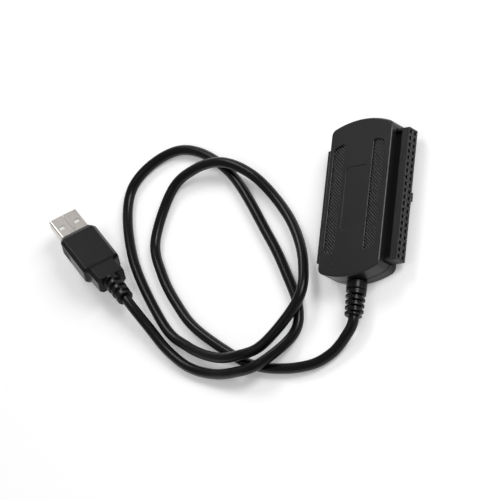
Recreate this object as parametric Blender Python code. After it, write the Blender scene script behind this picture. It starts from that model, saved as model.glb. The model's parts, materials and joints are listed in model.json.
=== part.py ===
# Adapter head for bare disk drives, with a moulded plug on a short free cord.
# The head has a 40-way drive socket on one side, a 44-way one on the other and a serial
# drive header in its far end. Inside, a circuit board joins them to the cord's four wires.
#
# Lengths are in millimetres, and the finished meshes become metres in to_metres. The head stands on z = 0,
# +Y runs from the cord's end to the far end, and +X points out of the 40-way socket.
import math

import bmesh
import bpy
from mathutils import Matrix, Vector

MM = 0.001

# Head housing: two shells that meet at a seam
housing_length = 61.6
housing_width = 28.3
housing_height = 10.75
end_bow = 3.1            # how far each bowed end stands out past its corners
corner_radius = 2.6
edge_radius = 0.5
wall = 1.6
skin = 1.5               # thickness of the roof and of the floor
seam_height = 4.4
seam_gap = 0.25
lip_wall = 0.7
lip_height = 0.8
seat_gap = 0.3           # clearance between pieces that seat on each other
fine_gap = 0.12          # clearance round the small contact blades

# Two ribbed grip bands and a shallow label recess in the roof
band_width = 5.0
band_length = 44.6       # along its middle line, were it to lie in the middle of the roof
band_depth = 0.5
band_corner = 1.3
band_centre_y = 0.3
left_band_x = -9.7
right_band_x = 8.7
groove_pitch = 1.28
groove_width = 0.5
groove_depth = 0.3
groove_margin = 0.15     # flat strip left round the grooves
recess_width = 10.2
recess_length = 25.0
recess_depth = 0.2
recess_corner = 1.6
recess_x = -0.2
recess_y = -0.3

# Circuit board
board_height = 4.65
board_thickness = 1.2
board_near_gap = 1.1     # from its near edge to the inside of the near end wall
board_far_gap = 0.9
notch_width = 11.0
notch_depth = 5.5
post_radius = 1.5
post_x = 5.6
post_gap = 0.8           # from the notch to the near posts
tail_gap = 1.9           # from the serial header to the far posts

# Parts soldered to the board: places on the board, and sizes along X, along Y and in height
bridge_place = (0.0, -3.0)
bridge_size = (10.0, 10.0, 1.4)
bridge_pin_pitch = 0.75
memory_place = (-2.0, 8.6)
memory_size = (3.9, 4.9, 1.5)
memory_pin_pitch = 1.27
regulator_place = (3.6, 9.2)
regulator_size = (2.5, 4.5, 1.5)
regulator_pin_pitch = 1.5
chip_pin = (0.9, 0.3, 0.3)
chip_stand_off = 0.1
crystal_place = (0.0, -12.6)
crystal_size = (5.0, 3.2, 1.2)
crystal_corner = 0.5
capacitor_size = (2.0, 1.25, 1.1)
capacitor_corner = 0.15
capacitor_gap = 0.25     # between one of them and the solder tails beside it

# 40-way drive socket
wide_columns = 20
wide_pitch = 2.54
wide_hole = 0.95
wide_length = 51.3
wide_thickness = 5.1
wide_depth = 9.7
wide_reach = 5.75        # how far it stands out of the housing's side
wide_centre_y = -0.15
wide_hole_depth = 2.3    # the holes stop short of the trough
key_width = 3.4
key_rise = 1.0
trough_width = 2.5
trough_depth = 1.5
trough_margin = 1.0      # solid length left at each end of the trough

# 44-way drive socket
slim_columns = 22
slim_pitch = 2.0
slim_hole = 0.7
slim_length = 44.2
slim_thickness = 4.0
slim_depth = 8.0
slim_reach = 3.7
slim_centre_y = -0.4
slim_hole_depth = 5.5
closed_column = 9        # the one position in the lower row that has no hole

lead_in = 0.3
tail_length = 2.4
tail_width = 0.5
tail_thickness = 0.25

# Serial drive header in the far end
header_width = 15.0
header_height = 6.4
header_depth = 8.6
header_set_back = 1.2    # from the tip of the bowed end to the header's face
cavity_width = 12.8
cavity_height = 4.4
cavity_depth = 6.4
tongue_width = 10.4
tongue_thickness = 1.2
tongue_set_back = 0.6
hook_width = 1.2
hook_drop = 1.2
blade_count = 7
blade_pitch = 1.27
blade_width = 0.7
blade_thickness = 0.25

# Indicator lamp and the pipe that carries its light through the roof
lamp_size = (1.6, 1.2, 0.8)
lamp_corner = 0.2
lamp_side_gap = 1.85     # from the board's edges to the middle of the lamp
lamp_near_gap = 1.4
pipe_radius = 0.7
pipe_proud = 0.15

# Strain relief on the head
relief_height = seam_height
neck_radius = 2.4
flange_width = 9.0
flange_thickness = 1.1
collar_radius = 3.75
collar_length = 3.2
sleeve_radius = 3.5
sleeve_end_radius = 3.3
sleeve_length = 10.0
slot_width = 1.1
slot_pitch = 2.2
first_slot = 1.2
slots_per_side = 4
slot_floor_radius = 2.4

# Plug: folded steel shell in a moulded grip, with a ribbed tail
plug_width = 12.0
plug_height = 4.5
plug_sheet = 0.3
plug_exposed = 12.0
plug_buried = 6.7
plug_corner = 0.7
latch_width = 2.3
latch_length = 2.2
latch_x = 6.4
latch_y = 3.3
grip_width = 15.6
grip_thickness = 8.0
grip_length = 22.5
grip_chamfer = 1.3
grip_ramp = 2.4          # length over which its front grows to full size
grip_ramp_drop = 1.0     # how much lower each side is at the start of the ramp
shoulder_length = 0.5
plug_tail_width = 12.2
plug_tail_end_width = 11.6
plug_tail_thickness = 7.4
plug_tail_length = 8.5
finger_groove_count = 5
finger_groove_start = 16.2
finger_groove_pitch = 1.25
finger_groove_width = 0.7
finger_groove_depth = 0.35
finger_groove_height = 4.4
plug_sleeve_length = 11.5
plug_sleeve_radius = 3.7
plug_sleeve_end_radius = 3.25
plug_slot_width = 1.5
plug_slot_pitch = 3.4
plug_slots_per_side = 3
plug_first_slot = 1.5
tongue_board_width = 10.8
tongue_board_thickness = 1.85
tongue_board_set_back = 0.8
tongue_block_length = 1.5  # thicker rear of the tongue that still shows in the mouth
contact_width = 1.0
contact_thickness = 0.3
contact_proud = 0.1
outer_contact_start = 1.6
inner_contact_start = 2.6
contact_rows = (-3.5, -1.0, 1.0, 3.5)

# Where the plug lies: the middle of its open mouth, its heading and its lean on one edge
plug_place = (-150.6, 13.5, 7.1)
plug_heading = -44.2
plug_lean = -35.0

# Cord
cord_radius = 2.0
cord_straight = 1.5      # straight run out of the strain relief and into the plug
cord_samples = 104
cord_route = [
    (-1.1, -48.4, 4.0), (-3.5, -51.2, 3.5), (-6.4, -53.9, 2.8), (-10.4, -56.7, 2.3), (-16.9, -59.3, 2.05),
    (-24.5, -60.2, 2.05), (-32.9, -59.9, 2.05), (-43.0, -58.2, 2.05), (-54.4, -53.9, 2.05), (-77.2, -39.8, 2.05),
    (-89.4, -27.7, 2.05), (-98.8, -14.6, 2.05), (-104.3, -0.2, 2.05), (-98.5, 19.5, 2.5), (-85.9, 25.7, 4.8),
    (-70.7, 25.7, 6.5), (-56.9, 19.5, 4.8), (-45.2, 8.8, 2.5), (-34.3, -4.7, 2.5), (-26.3, -20.1, 4.8),
    (-25.4, -35.2, 6.5), (-39.9, -50.4, 5.9), (-51.4, -54.2, 6.7), (-64.3, -53.0, 5.0), (-80.6, -46.2, 2.5),
    (-95.3, -35.0, 2.05), (-115.7, -4.5, 2.05), (-120.0, 23.9, 2.05), (-97.8, 36.3, 2.05), (-71.0, 23.8, 2.05),
    (-46.9, -6.1, 2.05), (-36.0, -22.6, 2.05), (-28.7, -36.6, 2.05), (-29.4, -47.5, 2.6), (-40.9, -58.6, 6.5),
    (-54.9, -60.0, 4.8), (-67.6, -58.3, 2.5), (-79.6, -54.2, 2.1), (-90.5, -46.6, 2.8), (-99.6, -37.2, 4.6),
    (-106.9, -29.3, 6.6),
]

# Wires inside the head
wire_radius = 0.45
wire_pitch = 1.4
wire_spread = 1.5        # how far they fan out at the board

# Values that follow from the sizes above
half_width = housing_width / 2
half_length = housing_length / 2
end_radius = (half_width ** 2 + end_bow ** 2) / (2 * end_bow)
roof_under = housing_height - skin
board_top = board_height + board_thickness
board_middle = board_height + board_thickness / 2
wide_face = half_width + wide_reach
slim_face = half_width + slim_reach
wide_back = wide_face - wide_depth
slim_back = slim_face - slim_depth
header_face = half_length - header_set_back
header_back = header_face - header_depth
solder_height = board_top + seat_gap


def inside_end(x):
    """Distance from the middle of the housing to the inside of an end wall at x."""
    return half_length - end_radius + math.sqrt((end_radius - wall) ** 2 - x ** 2)


def bow_drop(x):
    """How far a bowed end has fallen back at x from its furthest point."""
    return end_radius - math.sqrt(end_radius ** 2 - x ** 2)


board_side = min(wide_back, slim_back) - seat_gap
board_near_y = board_near_gap - inside_end(board_side)
board_far_y = inside_end(board_side) - board_far_gap
notch_y = board_near_y + notch_depth
post_near_y = notch_y + post_gap + post_radius
post_far_y = header_back - tail_gap - post_radius
lamp_x = lamp_side_gap - board_side
lamp_y = board_near_y + lamp_near_gap
beside_tails = tail_length + capacitor_gap + capacitor_size[0] / 2 - slim_back
capacitor_places = [(-5.0, -13.4), (5.0, -13.4), (beside_tails, 5.2), (1.6, 13.6)]


# Materials

def make_material(name, colour, roughness, metallic=0.0):
    material = bpy.data.materials.new(name)
    material.use_nodes = True
    shader = material.node_tree.nodes["Principled BSDF"]
    shader.inputs["Base Color"].default_value = (*colour, 1.0)
    shader.inputs["Roughness"].default_value = roughness
    shader.inputs["Metallic"].default_value = metallic
    return material


# Meshes: loops of points, lofts between them and Booleans

def make_object(name, bm, material):
    bmesh.ops.recalc_face_normals(bm, faces=bm.faces)
    mesh = bpy.data.meshes.new(name)
    bm.to_mesh(mesh)
    bm.free()
    piece = bpy.data.objects.new(name, mesh)
    bpy.context.scene.collection.objects.link(piece)
    piece.data.materials.append(material)
    return piece


def combine(piece, bm, operation):
    """Cut, join or intersect a piece with the shape in bm."""
    tool = make_object(piece.name + "_tool", bm, piece.data.materials[0])
    modifier = piece.modifiers.new(operation, "BOOLEAN")
    modifier.operation = operation
    modifier.solver = "EXACT"
    modifier.object = tool
    evaluated = piece.evaluated_get(bpy.context.evaluated_depsgraph_get())
    mesh = bpy.data.meshes.new_from_object(evaluated)
    piece.modifiers.clear()
    piece.data = mesh
    mesh.name = piece.name
    bpy.data.objects.remove(tool)


def to_metres():
    for mesh in bpy.data.meshes:
        mesh.transform(Matrix.Scale(MM, 4))


def smooth(piece, angle=35.0):
    piece.data.shade_smooth()
    piece.data.set_sharp_from_angle(angle=math.radians(angle))


def loft(bm, loops):
    """Skin a row of loops that have equal counts of points, and close both ends."""
    rings = [[bm.verts.new(point) for point in loop] for loop in loops]
    count = len(rings[0])
    for first, second in zip(rings, rings[1:]):
        for i in range(count):
            j = (i + 1) % count
            bm.faces.new((first[i], first[j], second[j], second[i]))
    bm.faces.new(reversed(rings[0]))
    bm.faces.new(rings[-1])
    return bm


def add_box(bm, low, high):
    corners = [(low[0], low[1]), (high[0], low[1]), (high[0], high[1]), (low[0], high[1])]
    return loft(bm, [[(x, y, z) for x, y in corners] for z in (low[2], high[2])])


def box(low, high):
    return add_box(bmesh.new(), low, high)


def arc(centre, radius, start, end, steps):
    """Points on a circle, from the start angle to the end angle in degrees."""
    points = []
    for i in range(steps + 1):
        angle = math.radians(start + (end - start) * i / steps)
        points.append((centre[0] + radius * math.cos(angle), centre[1] + radius * math.sin(angle)))
    return points


def rounded_rectangle(width, height, radius, steps=4, centre=(0.0, 0.0)):
    across = width / 2 - radius
    up = height / 2 - radius
    points = []
    for quarter, (sx, sy) in enumerate(((1, 1), (-1, 1), (-1, -1), (1, -1))):
        middle = (centre[0] + sx * across, centre[1] + sy * up)
        points += arc(middle, radius, 90 * quarter, 90 * quarter + 90, steps)
    return points


def prism(outline, low, high):
    return loft(bmesh.new(), [[(x, y, z) for x, y in outline] for z in (low, high)])


def add_disc_stack(bm, centre, levels, steps=16):
    """Turned shape about a vertical axis, from (radius, z) pairs."""
    loops = []
    for radius, z in levels:
        ring = arc(centre, radius, 0, 360 - 360 / steps, steps - 1)
        loops.append([(x, y, z) for x, y in ring])
    return loft(bm, loops)


def turned_along_y(levels, height, steps=24):
    """Turned shape about the head's long axis at a height, from (radius, y) pairs."""
    loops = []
    for radius, y in levels:
        ring = arc((0.0, height), radius, 0, 360 - 360 / steps, steps - 1)
        loops.append([(x, y, z) for x, z in ring])
    return loft(bmesh.new(), loops)


# Head housing

def housing_outline(inset):
    """Plan of the housing: straight sides, bowed ends and rounded corners, moved in by inset."""
    across = half_width - corner_radius
    arc_middle = half_length - end_radius
    up = arc_middle + math.sqrt((end_radius - corner_radius) ** 2 - across ** 2)
    tangent = math.degrees(math.atan2(up - arc_middle, across))
    corner = arc((across, up), corner_radius - inset, 0, tangent, 5)
    bow = arc((0.0, arc_middle), end_radius - inset, tangent, 180 - tangent, 12)
    half = corner + bow[1:-1] + [(-x, y) for x, y in reversed(corner)]
    return half + [(-x, -y) for x, y in half]


def level(inset, z):
    return [(x, y, z) for x, y in housing_outline(inset)]


def rounded_edge(z, direction, steps=3):
    """Loops that round the housing's outer edge from its side to its flat face at z."""
    loops = []
    for i in range(steps + 1):
        angle = math.radians(90 * i / steps)
        inset = edge_radius * (1 - math.cos(angle))
        loops.append(level(inset, z - direction * edge_radius * (1 - math.sin(angle))))
    return loops


def window_cutter(side, back, length, thickness, centre_y):
    """Block that opens a side wall round a socket, with clearance all the way to its back."""
    inner = back - seat_gap
    outer = half_width + seat_gap
    low_x, high_x = sorted((side * inner, side * outer))
    half_l = length / 2 + seat_gap
    half_t = thickness / 2 + seat_gap
    low = (low_x, centre_y - half_l, board_middle - half_t)
    return box(low, (high_x, centre_y + half_l, board_middle + half_t))


def open_housing(shell):
    """Cut the openings that both shells share: two sockets, the header and the strain relief."""
    combine(shell, window_cutter(1, wide_back, wide_length, wide_thickness, wide_centre_y), "DIFFERENCE")
    combine(shell, window_cutter(-1, slim_back, slim_length, slim_thickness, slim_centre_y), "DIFFERENCE")
    half_w = header_width / 2 + seat_gap
    half_h = header_height / 2 + seat_gap
    low = (-half_w, header_back - seat_gap, board_middle - half_h)
    combine(shell, box(low, (half_w, half_length + 1, board_middle + half_h)), "DIFFERENCE")
    neck = neck_radius + seat_gap
    tunnel = turned_along_y([(neck, -half_length - 1), (neck, -half_length + wall + 1)], relief_height)
    combine(shell, tunnel, "DIFFERENCE")


def band_outline(centre_x, inset=0.0):
    """Rounded strip whose ends follow the bowed ends of the housing."""
    strip = rounded_rectangle(band_width - 2 * inset, band_length - 2 * inset, band_corner - inset,
                              centre=(centre_x, 0.0))
    return [(x, band_centre_y + y - math.copysign(bow_drop(x), y)) for x, y in strip]


def diagonal_grooves(centre_x, floor):
    """Row of diagonal V grooves that crosses one grip band."""
    bm = bmesh.new()
    reach = band_width / 2 + 1
    count = int((band_length + band_width) / groove_pitch)
    half = groove_width / math.sqrt(2)
    for i in range(count):
        middle = band_centre_y + (i - (count - 1) / 2) * groove_pitch
        ends = []
        for side in (-1, 1):
            x = centre_x + side * reach
            y = middle - side * reach
            lip = floor + 0.1
            ends.append([(x, y - half, lip), (x, y + half, lip), (x, y, floor - groove_depth)])
        loft(bm, ends)
    return bm


def make_upper_shell(material):
    lip_step = wall - lip_wall
    loops = list(reversed(rounded_edge(housing_height, 1)))
    edge = seam_height + seam_gap / 2
    shoulder = edge + lip_height + seam_gap
    loops.append(level(0.0, edge))
    loops.append(level(lip_step - seam_gap, edge))
    loops.append(level(lip_step - seam_gap, shoulder))
    loops.append(level(wall, shoulder))
    loops.append(level(wall, roof_under))
    shell = make_object("upper_shell", loft(bmesh.new(), loops), material)
    posts = bmesh.new()
    for x in (-post_x, post_x):
        for y in (post_near_y, post_far_y):
            levels = [(post_radius, roof_under + skin / 2), (post_radius, board_top + seat_gap)]
            add_disc_stack(posts, (x, y), levels)
    combine(shell, posts, "UNION")
    open_housing(shell)
    floor = housing_height - band_depth
    for x in (left_band_x, right_band_x):
        combine(shell, prism(band_outline(x), floor, housing_height + 1), "DIFFERENCE")
        grooves = make_object("grooves", diagonal_grooves(x, floor), material)
        combine(grooves, prism(band_outline(x, groove_margin), floor - skin, floor + skin), "INTERSECT")
        cutter = bmesh.new()
        cutter.from_mesh(grooves.data)
        combine(shell, cutter, "DIFFERENCE")
        bpy.data.objects.remove(grooves)
    recess = rounded_rectangle(recess_width, recess_length, recess_corner, centre=(recess_x, recess_y))
    combine(shell, prism(recess, housing_height - recess_depth, housing_height + 1), "DIFFERENCE")
    hole = pipe_radius + fine_gap
    pipe_hole = add_disc_stack(bmesh.new(), (lamp_x, lamp_y), [(hole, board_top), (hole, housing_height + 1)])
    combine(shell, pipe_hole, "DIFFERENCE")
    smooth(shell)
    return shell


def make_lower_shell(material):
    lip_step = wall - lip_wall
    edge = seam_height - seam_gap / 2
    loops = list(reversed(rounded_edge(0.0, -1)))
    loops.append(level(0.0, edge))
    loops.append(level(lip_step, edge))
    loops.append(level(lip_step, edge + lip_height))
    loops.append(level(wall, edge + lip_height))
    loops.append(level(wall, skin))
    shell = make_object("lower_shell", loft(bmesh.new(), loops), material)
    posts = bmesh.new()
    for x in (-post_x, post_x):
        for y in (post_near_y, post_far_y):
            levels = [(post_radius, skin / 2), (post_radius, board_height - seat_gap)]
            add_disc_stack(posts, (x, y), levels)
    combine(shell, posts, "UNION")
    open_housing(shell)
    smooth(shell)
    return shell


# Circuit board and what is soldered to it

def make_board(material):
    half_notch = notch_width / 2
    half_bay = header_width / 2 + seat_gap
    bay_y = header_back - seat_gap
    outline = [
        (board_side, board_near_y), (board_side, board_far_y), (half_bay, board_far_y), (half_bay, bay_y),
        (-half_bay, bay_y), (-half_bay, board_far_y), (-board_side, board_far_y),
        (-board_side, board_near_y), (-half_notch, board_near_y), (-half_notch, notch_y),
        (half_notch, notch_y), (half_notch, board_near_y),
    ]
    return make_object("circuit_board", prism(outline, board_height, board_top), material)


def block(bm, centre, size, foot):
    """Block on the board, with its foot at a height."""
    half_x = size[0] / 2
    half_y = size[1] / 2
    return add_box(bm, (centre[0] - half_x, centre[1] - half_y, foot),
                   (centre[0] + half_x, centre[1] + half_y, foot + size[2]))


def make_chip(name, centre, size, pins_per_side, pin_pitch, sides, material):
    """Chip in a moulded case, with flat pins on one, two or four of its sides."""
    chip = make_object(name, block(bmesh.new(), centre, size, solder_height + chip_stand_off), material)
    pin_length, pin_width, pin_height = chip_pin
    pins = bmesh.new()
    for side in range(sides):
        turn = Matrix.Rotation(math.radians(90 * side if sides == 4 else 180 * side), 2)
        across = size[0] / 2 if side % 2 == 0 or sides == 2 else size[1] / 2
        for i in range(pins_per_side):
            along = (i - (pins_per_side - 1) / 2) * pin_pitch
            low = turn @ Vector((across - pin_length / 3, along - pin_width / 2))
            high = turn @ Vector((across + pin_length, along + pin_width / 2))
            low_x, high_x = sorted((centre[0] + low.x, centre[0] + high.x))
            low_y, high_y = sorted((centre[1] + low.y, centre[1] + high.y))
            add_box(pins, (low_x, low_y, solder_height), (high_x, high_y, solder_height + pin_height))
    combine(chip, pins, "UNION")
    return chip


def pad(name, centre, size, corner, material):
    """Small part with rounded corners, soldered flat on the board."""
    outline = rounded_rectangle(size[0], size[1], corner, steps=2, centre=centre)
    return make_object(name, prism(outline, solder_height, solder_height + size[2]), material)


def make_board_parts(chip_black, can_metal, ceramic, lamp_clear):
    make_chip("bridge_chip", bridge_place, bridge_size, 12, bridge_pin_pitch, 4, chip_black)
    make_chip("memory_chip", memory_place, memory_size, 4, memory_pin_pitch, 2, chip_black)
    make_chip("voltage_regulator", regulator_place, regulator_size, 3, regulator_pin_pitch, 1, chip_black)
    pad("crystal", crystal_place, crystal_size, crystal_corner, can_metal)
    for i, place in enumerate(capacitor_places):
        pad("capacitor_%d" % (i + 1), place, capacitor_size, capacitor_corner, ceramic)
    pad("indicator_lamp", (lamp_x, lamp_y), lamp_size, lamp_corner, lamp_clear)
    foot = solder_height + lamp_size[2] + seat_gap
    levels = [(pipe_radius, foot), (pipe_radius, housing_height), (pipe_radius * 0.7, housing_height + pipe_proud)]
    pipe = make_object("light_pipe", add_disc_stack(bmesh.new(), (lamp_x, lamp_y), levels), lamp_clear)
    smooth(pipe)


# Drive sockets

def pin_hole(bm, side, face, y, z, size, hole_depth):
    """Square blind hole along X with a flared mouth."""
    loops = []
    for depth, half in ((-0.2, size / 2 + lead_in), (0.0, size / 2 + lead_in),
                        (lead_in, size / 2), (hole_depth, size / 2)):
        x = side * (face - depth)
        loops.append([(x, y - half, z - half), (x, y + half, z - half),
                      (x, y + half, z + half), (x, y - half, z + half)])
    return loft(bm, loops)


def make_socket(name, side, face, back, length, thickness, centre_y, columns, pitch, hole, hole_depth, closed,
                material):
    """Two-row socket that straddles the board's edge, with its solder tails on both faces."""
    low_x, high_x = sorted((side * back, side * face))
    low = (low_x, centre_y - length / 2, board_middle - thickness / 2)
    high = (high_x, centre_y + length / 2, board_middle + thickness / 2)
    socket = make_object(name, box(low, high), material)
    holes = bmesh.new()
    tails = bmesh.new()
    for column in range(columns):
        y = centre_y + (column - (columns - 1) / 2) * pitch
        for row in (-1, 1):
            if not (row < 0 and column == closed):
                pin_hole(holes, side, face, y, board_middle + row * pitch / 2, hole, hole_depth)
            near = board_middle + row * (board_thickness / 2 + seat_gap)
            far = near + row * tail_thickness
            tail_x = sorted((side * (back - tail_length), side * (back + tail_width)))
            low_z, high_z = sorted((near, far))
            add_box(tails, (tail_x[0], y - tail_width / 2, low_z), (tail_x[1], y + tail_width / 2, high_z))
    combine(socket, tails, "UNION")
    combine(socket, holes, "DIFFERENCE")
    return socket


def make_wide_socket(material):
    socket = make_socket("drive_socket_40", 1, wide_face, wide_back, wide_length, wide_thickness,
                         wide_centre_y, wide_columns, wide_pitch, wide_hole, wide_hole_depth, None, material)
    underside = board_middle - wide_thickness / 2
    key = box((half_width + 2 * seat_gap, wide_centre_y - key_width / 2, underside - key_rise),
              (wide_face, wide_centre_y + key_width / 2, underside + 0.5))
    combine(socket, key, "UNION")
    half_trough = wide_length / 2 - trough_margin
    troughs = bmesh.new()
    start = half_width - wall
    stop = half_width + trough_width
    top = board_middle + wide_thickness / 2
    add_box(troughs, (start, wide_centre_y - half_trough, top - trough_depth),
            (stop, wide_centre_y + half_trough, top + 1))
    combine(socket, troughs, "DIFFERENCE")
    return socket


def make_slim_socket(material):
    return make_socket("drive_socket_44", -1, slim_face, slim_back, slim_length, slim_thickness,
                       slim_centre_y, slim_columns, slim_pitch, slim_hole, slim_hole_depth, closed_column, material)


# Serial drive header

def make_header(housing_material, blade_material):
    half_w = header_width / 2
    half_h = header_height / 2
    low = (-half_w, header_back, board_middle - half_h)
    header = make_object("serial_header", box(low, (half_w, header_face, board_middle + half_h)), housing_material)
    floor = header_face - cavity_depth
    cavity = box((-cavity_width / 2, floor, board_middle - cavity_height / 2),
                 (cavity_width / 2, header_face + 1, board_middle + cavity_height / 2))
    combine(header, cavity, "DIFFERENCE")
    top = solder_height + blade_thickness
    under = top - tongue_thickness
    tip = header_face - tongue_set_back
    tongue = box((-tongue_width / 2, floor - 0.5, under), (tongue_width / 2, tip, top))
    combine(header, tongue, "UNION")
    hook = box((-tongue_width / 2, floor - 0.5, under - hook_drop),
               (-tongue_width / 2 + hook_width, tip, top - tongue_thickness / 2))
    combine(header, hook, "UNION")
    slots = bmesh.new()
    blade_floor = top - blade_thickness
    for i in range(blade_count):
        x = (i - (blade_count - 1) / 2) * blade_pitch
        reach = blade_width / 2 + fine_gap
        add_box(slots, (x - reach, header_back - 1, blade_floor - fine_gap), (x + reach, tip - 0.8, top + fine_gap))
    combine(header, slots, "DIFFERENCE")
    for i in range(blade_count):
        x = (i - (blade_count - 1) / 2) * blade_pitch
        blade = bmesh.new()
        front = tip - 0.8 - fine_gap
        low = (x - blade_width / 2, header_back - tail_length, blade_floor)
        add_box(blade, low, (x + blade_width / 2, front, top))
        make_object("serial_contact_%d" % (i + 1), blade, blade_material)
    return header


# Strain relief on the head

def half_ring(side, thickness):
    """Cutter that takes one side off a sleeve along X, down to the floor radius of its slots."""
    outer = arc((0.0, 0.0), collar_radius + 1, -78, 78, 12)
    inner = arc((0.0, 0.0), slot_floor_radius, 78, -78, 12)
    outline = [(side * y, z) for y, z in outer + inner]
    return loft(bmesh.new(), [[(x, y, z) for y, z in outline] for x in (-thickness / 2, thickness / 2)])


def cut_slots(sleeve, first, width, pitch, per_side, place):
    """Slots in a sleeve, half a pitch further along on one side than on the other."""
    for side in (-1, 1):
        for i in range(per_side):
            along = first + i * pitch + (pitch / 2 if side > 0 else 0.0)
            ring = half_ring(side, width)
            ring.transform(place @ Matrix.Translation((along, 0.0, 0.0)))
            combine(sleeve, ring, "DIFFERENCE")


def make_strain_relief(material):
    wall_outside = -half_length - seat_gap
    collar_end = wall_outside - collar_length
    sleeve_end = collar_end - sleeve_length
    flange_y = seat_gap - inside_end(flange_width / 2)
    round_off = 0.6
    levels = [
        (neck_radius, flange_y + flange_thickness / 2), (neck_radius, wall_outside), (collar_radius, wall_outside),
        (collar_radius, collar_end + round_off), (collar_radius - round_off / 2, collar_end),
        (sleeve_radius, collar_end - 0.1), (sleeve_end_radius, sleeve_end + round_off),
        (sleeve_end_radius - round_off, sleeve_end),
    ]
    relief = make_object("strain_relief", turned_along_y(levels, relief_height), material)
    half_height = relief_height - skin - seat_gap
    flange = box((-flange_width / 2, flange_y, relief_height - half_height),
                 (flange_width / 2, flange_y + flange_thickness, relief_height + half_height))
    combine(relief, flange, "UNION")
    turn = Matrix.Translation((0.0, collar_end, relief_height)) @ Matrix.Rotation(math.radians(-90), 4, "Z")
    cut_slots(relief, first_slot, slot_width, slot_pitch, slots_per_side, turn)
    smooth(relief)
    return relief, sleeve_end


# Plug

def section(x, width, thickness, corner, steps=1):
    """Cross-section of the plug at a distance from its mouth, with chamfers or rounded corners."""
    return [(x, y, z) for y, z in rounded_rectangle(width, thickness, corner, steps)]


def make_grip(material):
    start = plug_exposed
    shoulder = start + grip_length
    end = shoulder + plug_tail_length
    sleeve_end = end + plug_sleeve_length
    round_off = 0.5
    loops = [
        section(start, grip_width - 2 * grip_ramp_drop, grip_thickness - 2 * grip_ramp_drop, grip_chamfer),
        section(start + grip_ramp, grip_width, grip_thickness, grip_chamfer),
        section(shoulder - shoulder_length, grip_width, grip_thickness, grip_chamfer),
        section(shoulder, plug_tail_width, plug_tail_thickness, grip_chamfer),
        section(end, plug_tail_end_width, plug_tail_thickness, grip_chamfer),
    ]
    grip = make_object("plug_grip", loft(bmesh.new(), loops), material)
    levels = [
        (plug_sleeve_radius, end - 1), (plug_sleeve_radius, end), (plug_sleeve_end_radius, sleeve_end - round_off),
        (plug_sleeve_end_radius - round_off, sleeve_end),
    ]
    sleeve = turned_along_y(levels, 0.0)
    sleeve.transform(Matrix.Rotation(math.radians(-90), 4, "Z"))
    combine(grip, sleeve, "UNION")
    pocket = [section(x, plug_width + 2 * seat_gap, plug_height + 2 * seat_gap, plug_corner + seat_gap, 4)
              for x in (start - 1, start + plug_buried + seat_gap)]
    combine(grip, loft(bmesh.new(), pocket), "DIFFERENCE")
    grooves = bmesh.new()
    for side in (-1, 1):
        edge = side * grip_width / 2
        inner, outer = sorted((edge - side * finger_groove_depth, edge + side))
        for i in range(finger_groove_count):
            x = finger_groove_start + i * finger_groove_pitch
            add_box(grooves, (x - finger_groove_width / 2, inner, -finger_groove_height / 2),
                    (x + finger_groove_width / 2, outer, finger_groove_height / 2))
    combine(grip, grooves, "DIFFERENCE")
    cut_slots(grip, plug_first_slot, plug_slot_width, plug_slot_pitch, plug_slots_per_side,
              Matrix.Translation((end, 0.0, 0.0)))
    smooth(grip)
    return grip, sleeve_end


def make_plug_shell(material):
    length = plug_exposed + plug_buried
    outside = [section(x, plug_width, plug_height, plug_corner, 3) for x in (0.0, length)]
    shell = make_object("plug_shell", loft(bmesh.new(), outside), material)
    inside = [section(x, plug_width - 2 * plug_sheet, plug_height - 2 * plug_sheet, plug_corner - plug_sheet, 3)
              for x in (-1.0, length + 1)]
    combine(shell, loft(bmesh.new(), inside), "DIFFERENCE")
    latches = bmesh.new()
    for y in (-latch_y, latch_y):
        for side in (-1, 1):
            middle = side * plug_height / 2
            add_box(latches, (latch_x - latch_length / 2, y - latch_width / 2, middle - 0.6),
                    (latch_x + latch_length / 2, y + latch_width / 2, middle + 0.6))
    combine(shell, latches, "DIFFERENCE")
    smooth(shell, 50)
    return shell


def make_plug_core(plastic, gold):
    """Insulator with its tongue, and the four contacts that lie in it."""
    half_w = tongue_board_width / 2
    top = plug_height / 2 - plug_sheet - seat_gap
    under = top - tongue_board_thickness
    rear = plug_exposed + plug_buried
    core = make_object("plug_tongue", box((tongue_board_set_back, -half_w, under), (rear, half_w, top)), plastic)
    behind = box((plug_exposed - tongue_block_length, -half_w, -top), (rear, half_w, top))
    combine(core, behind, "UNION")
    grooves = bmesh.new()
    pieces = [core]
    half = contact_width / 2
    root = under + contact_thickness
    for i, y in enumerate(contact_rows):
        start = outer_contact_start if i in (0, len(contact_rows) - 1) else inner_contact_start
        blade = box((start, y - half, under - contact_proud), (rear, y + half, root))
        pieces.append(make_object("plug_contact_%d" % (i + 1), blade, gold))
        add_box(grooves, (start - fine_gap, y - half - fine_gap, under - contact_proud - fine_gap),
                (rear + 1, y + half + fine_gap, root + fine_gap))
    combine(core, grooves, "DIFFERENCE")
    return pieces


# Cord and wires

def smooth_path(points, samples):
    """Even samples of a smooth curve that passes through the points."""
    points = [Vector(point) for point in points]
    padded = [2 * points[0] - points[1]] + points + [2 * points[-1] - points[-2]]
    dense = []
    for before, start, end, after in zip(padded, padded[1:], padded[2:], padded[3:]):
        for i in range(24):
            t = i / 24
            dense.append(0.5 * (2 * start + (end - before) * t
                                + (2 * before - 5 * start + 4 * end - after) * t ** 2
                                + (3 * start - before - 3 * end + after) * t ** 3))
    dense.append(points[-1])
    lengths = [0.0]
    for first, second in zip(dense, dense[1:]):
        lengths.append(lengths[-1] + (second - first).length)
    result = []
    place = 0
    for i in range(samples):
        target = lengths[-1] * i / (samples - 1)
        while place < len(dense) - 2 and lengths[place + 1] < target:
            place += 1
        share = (target - lengths[place]) / (lengths[place + 1] - lengths[place])
        result.append(dense[place].lerp(dense[place + 1], share))
    return result


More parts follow.
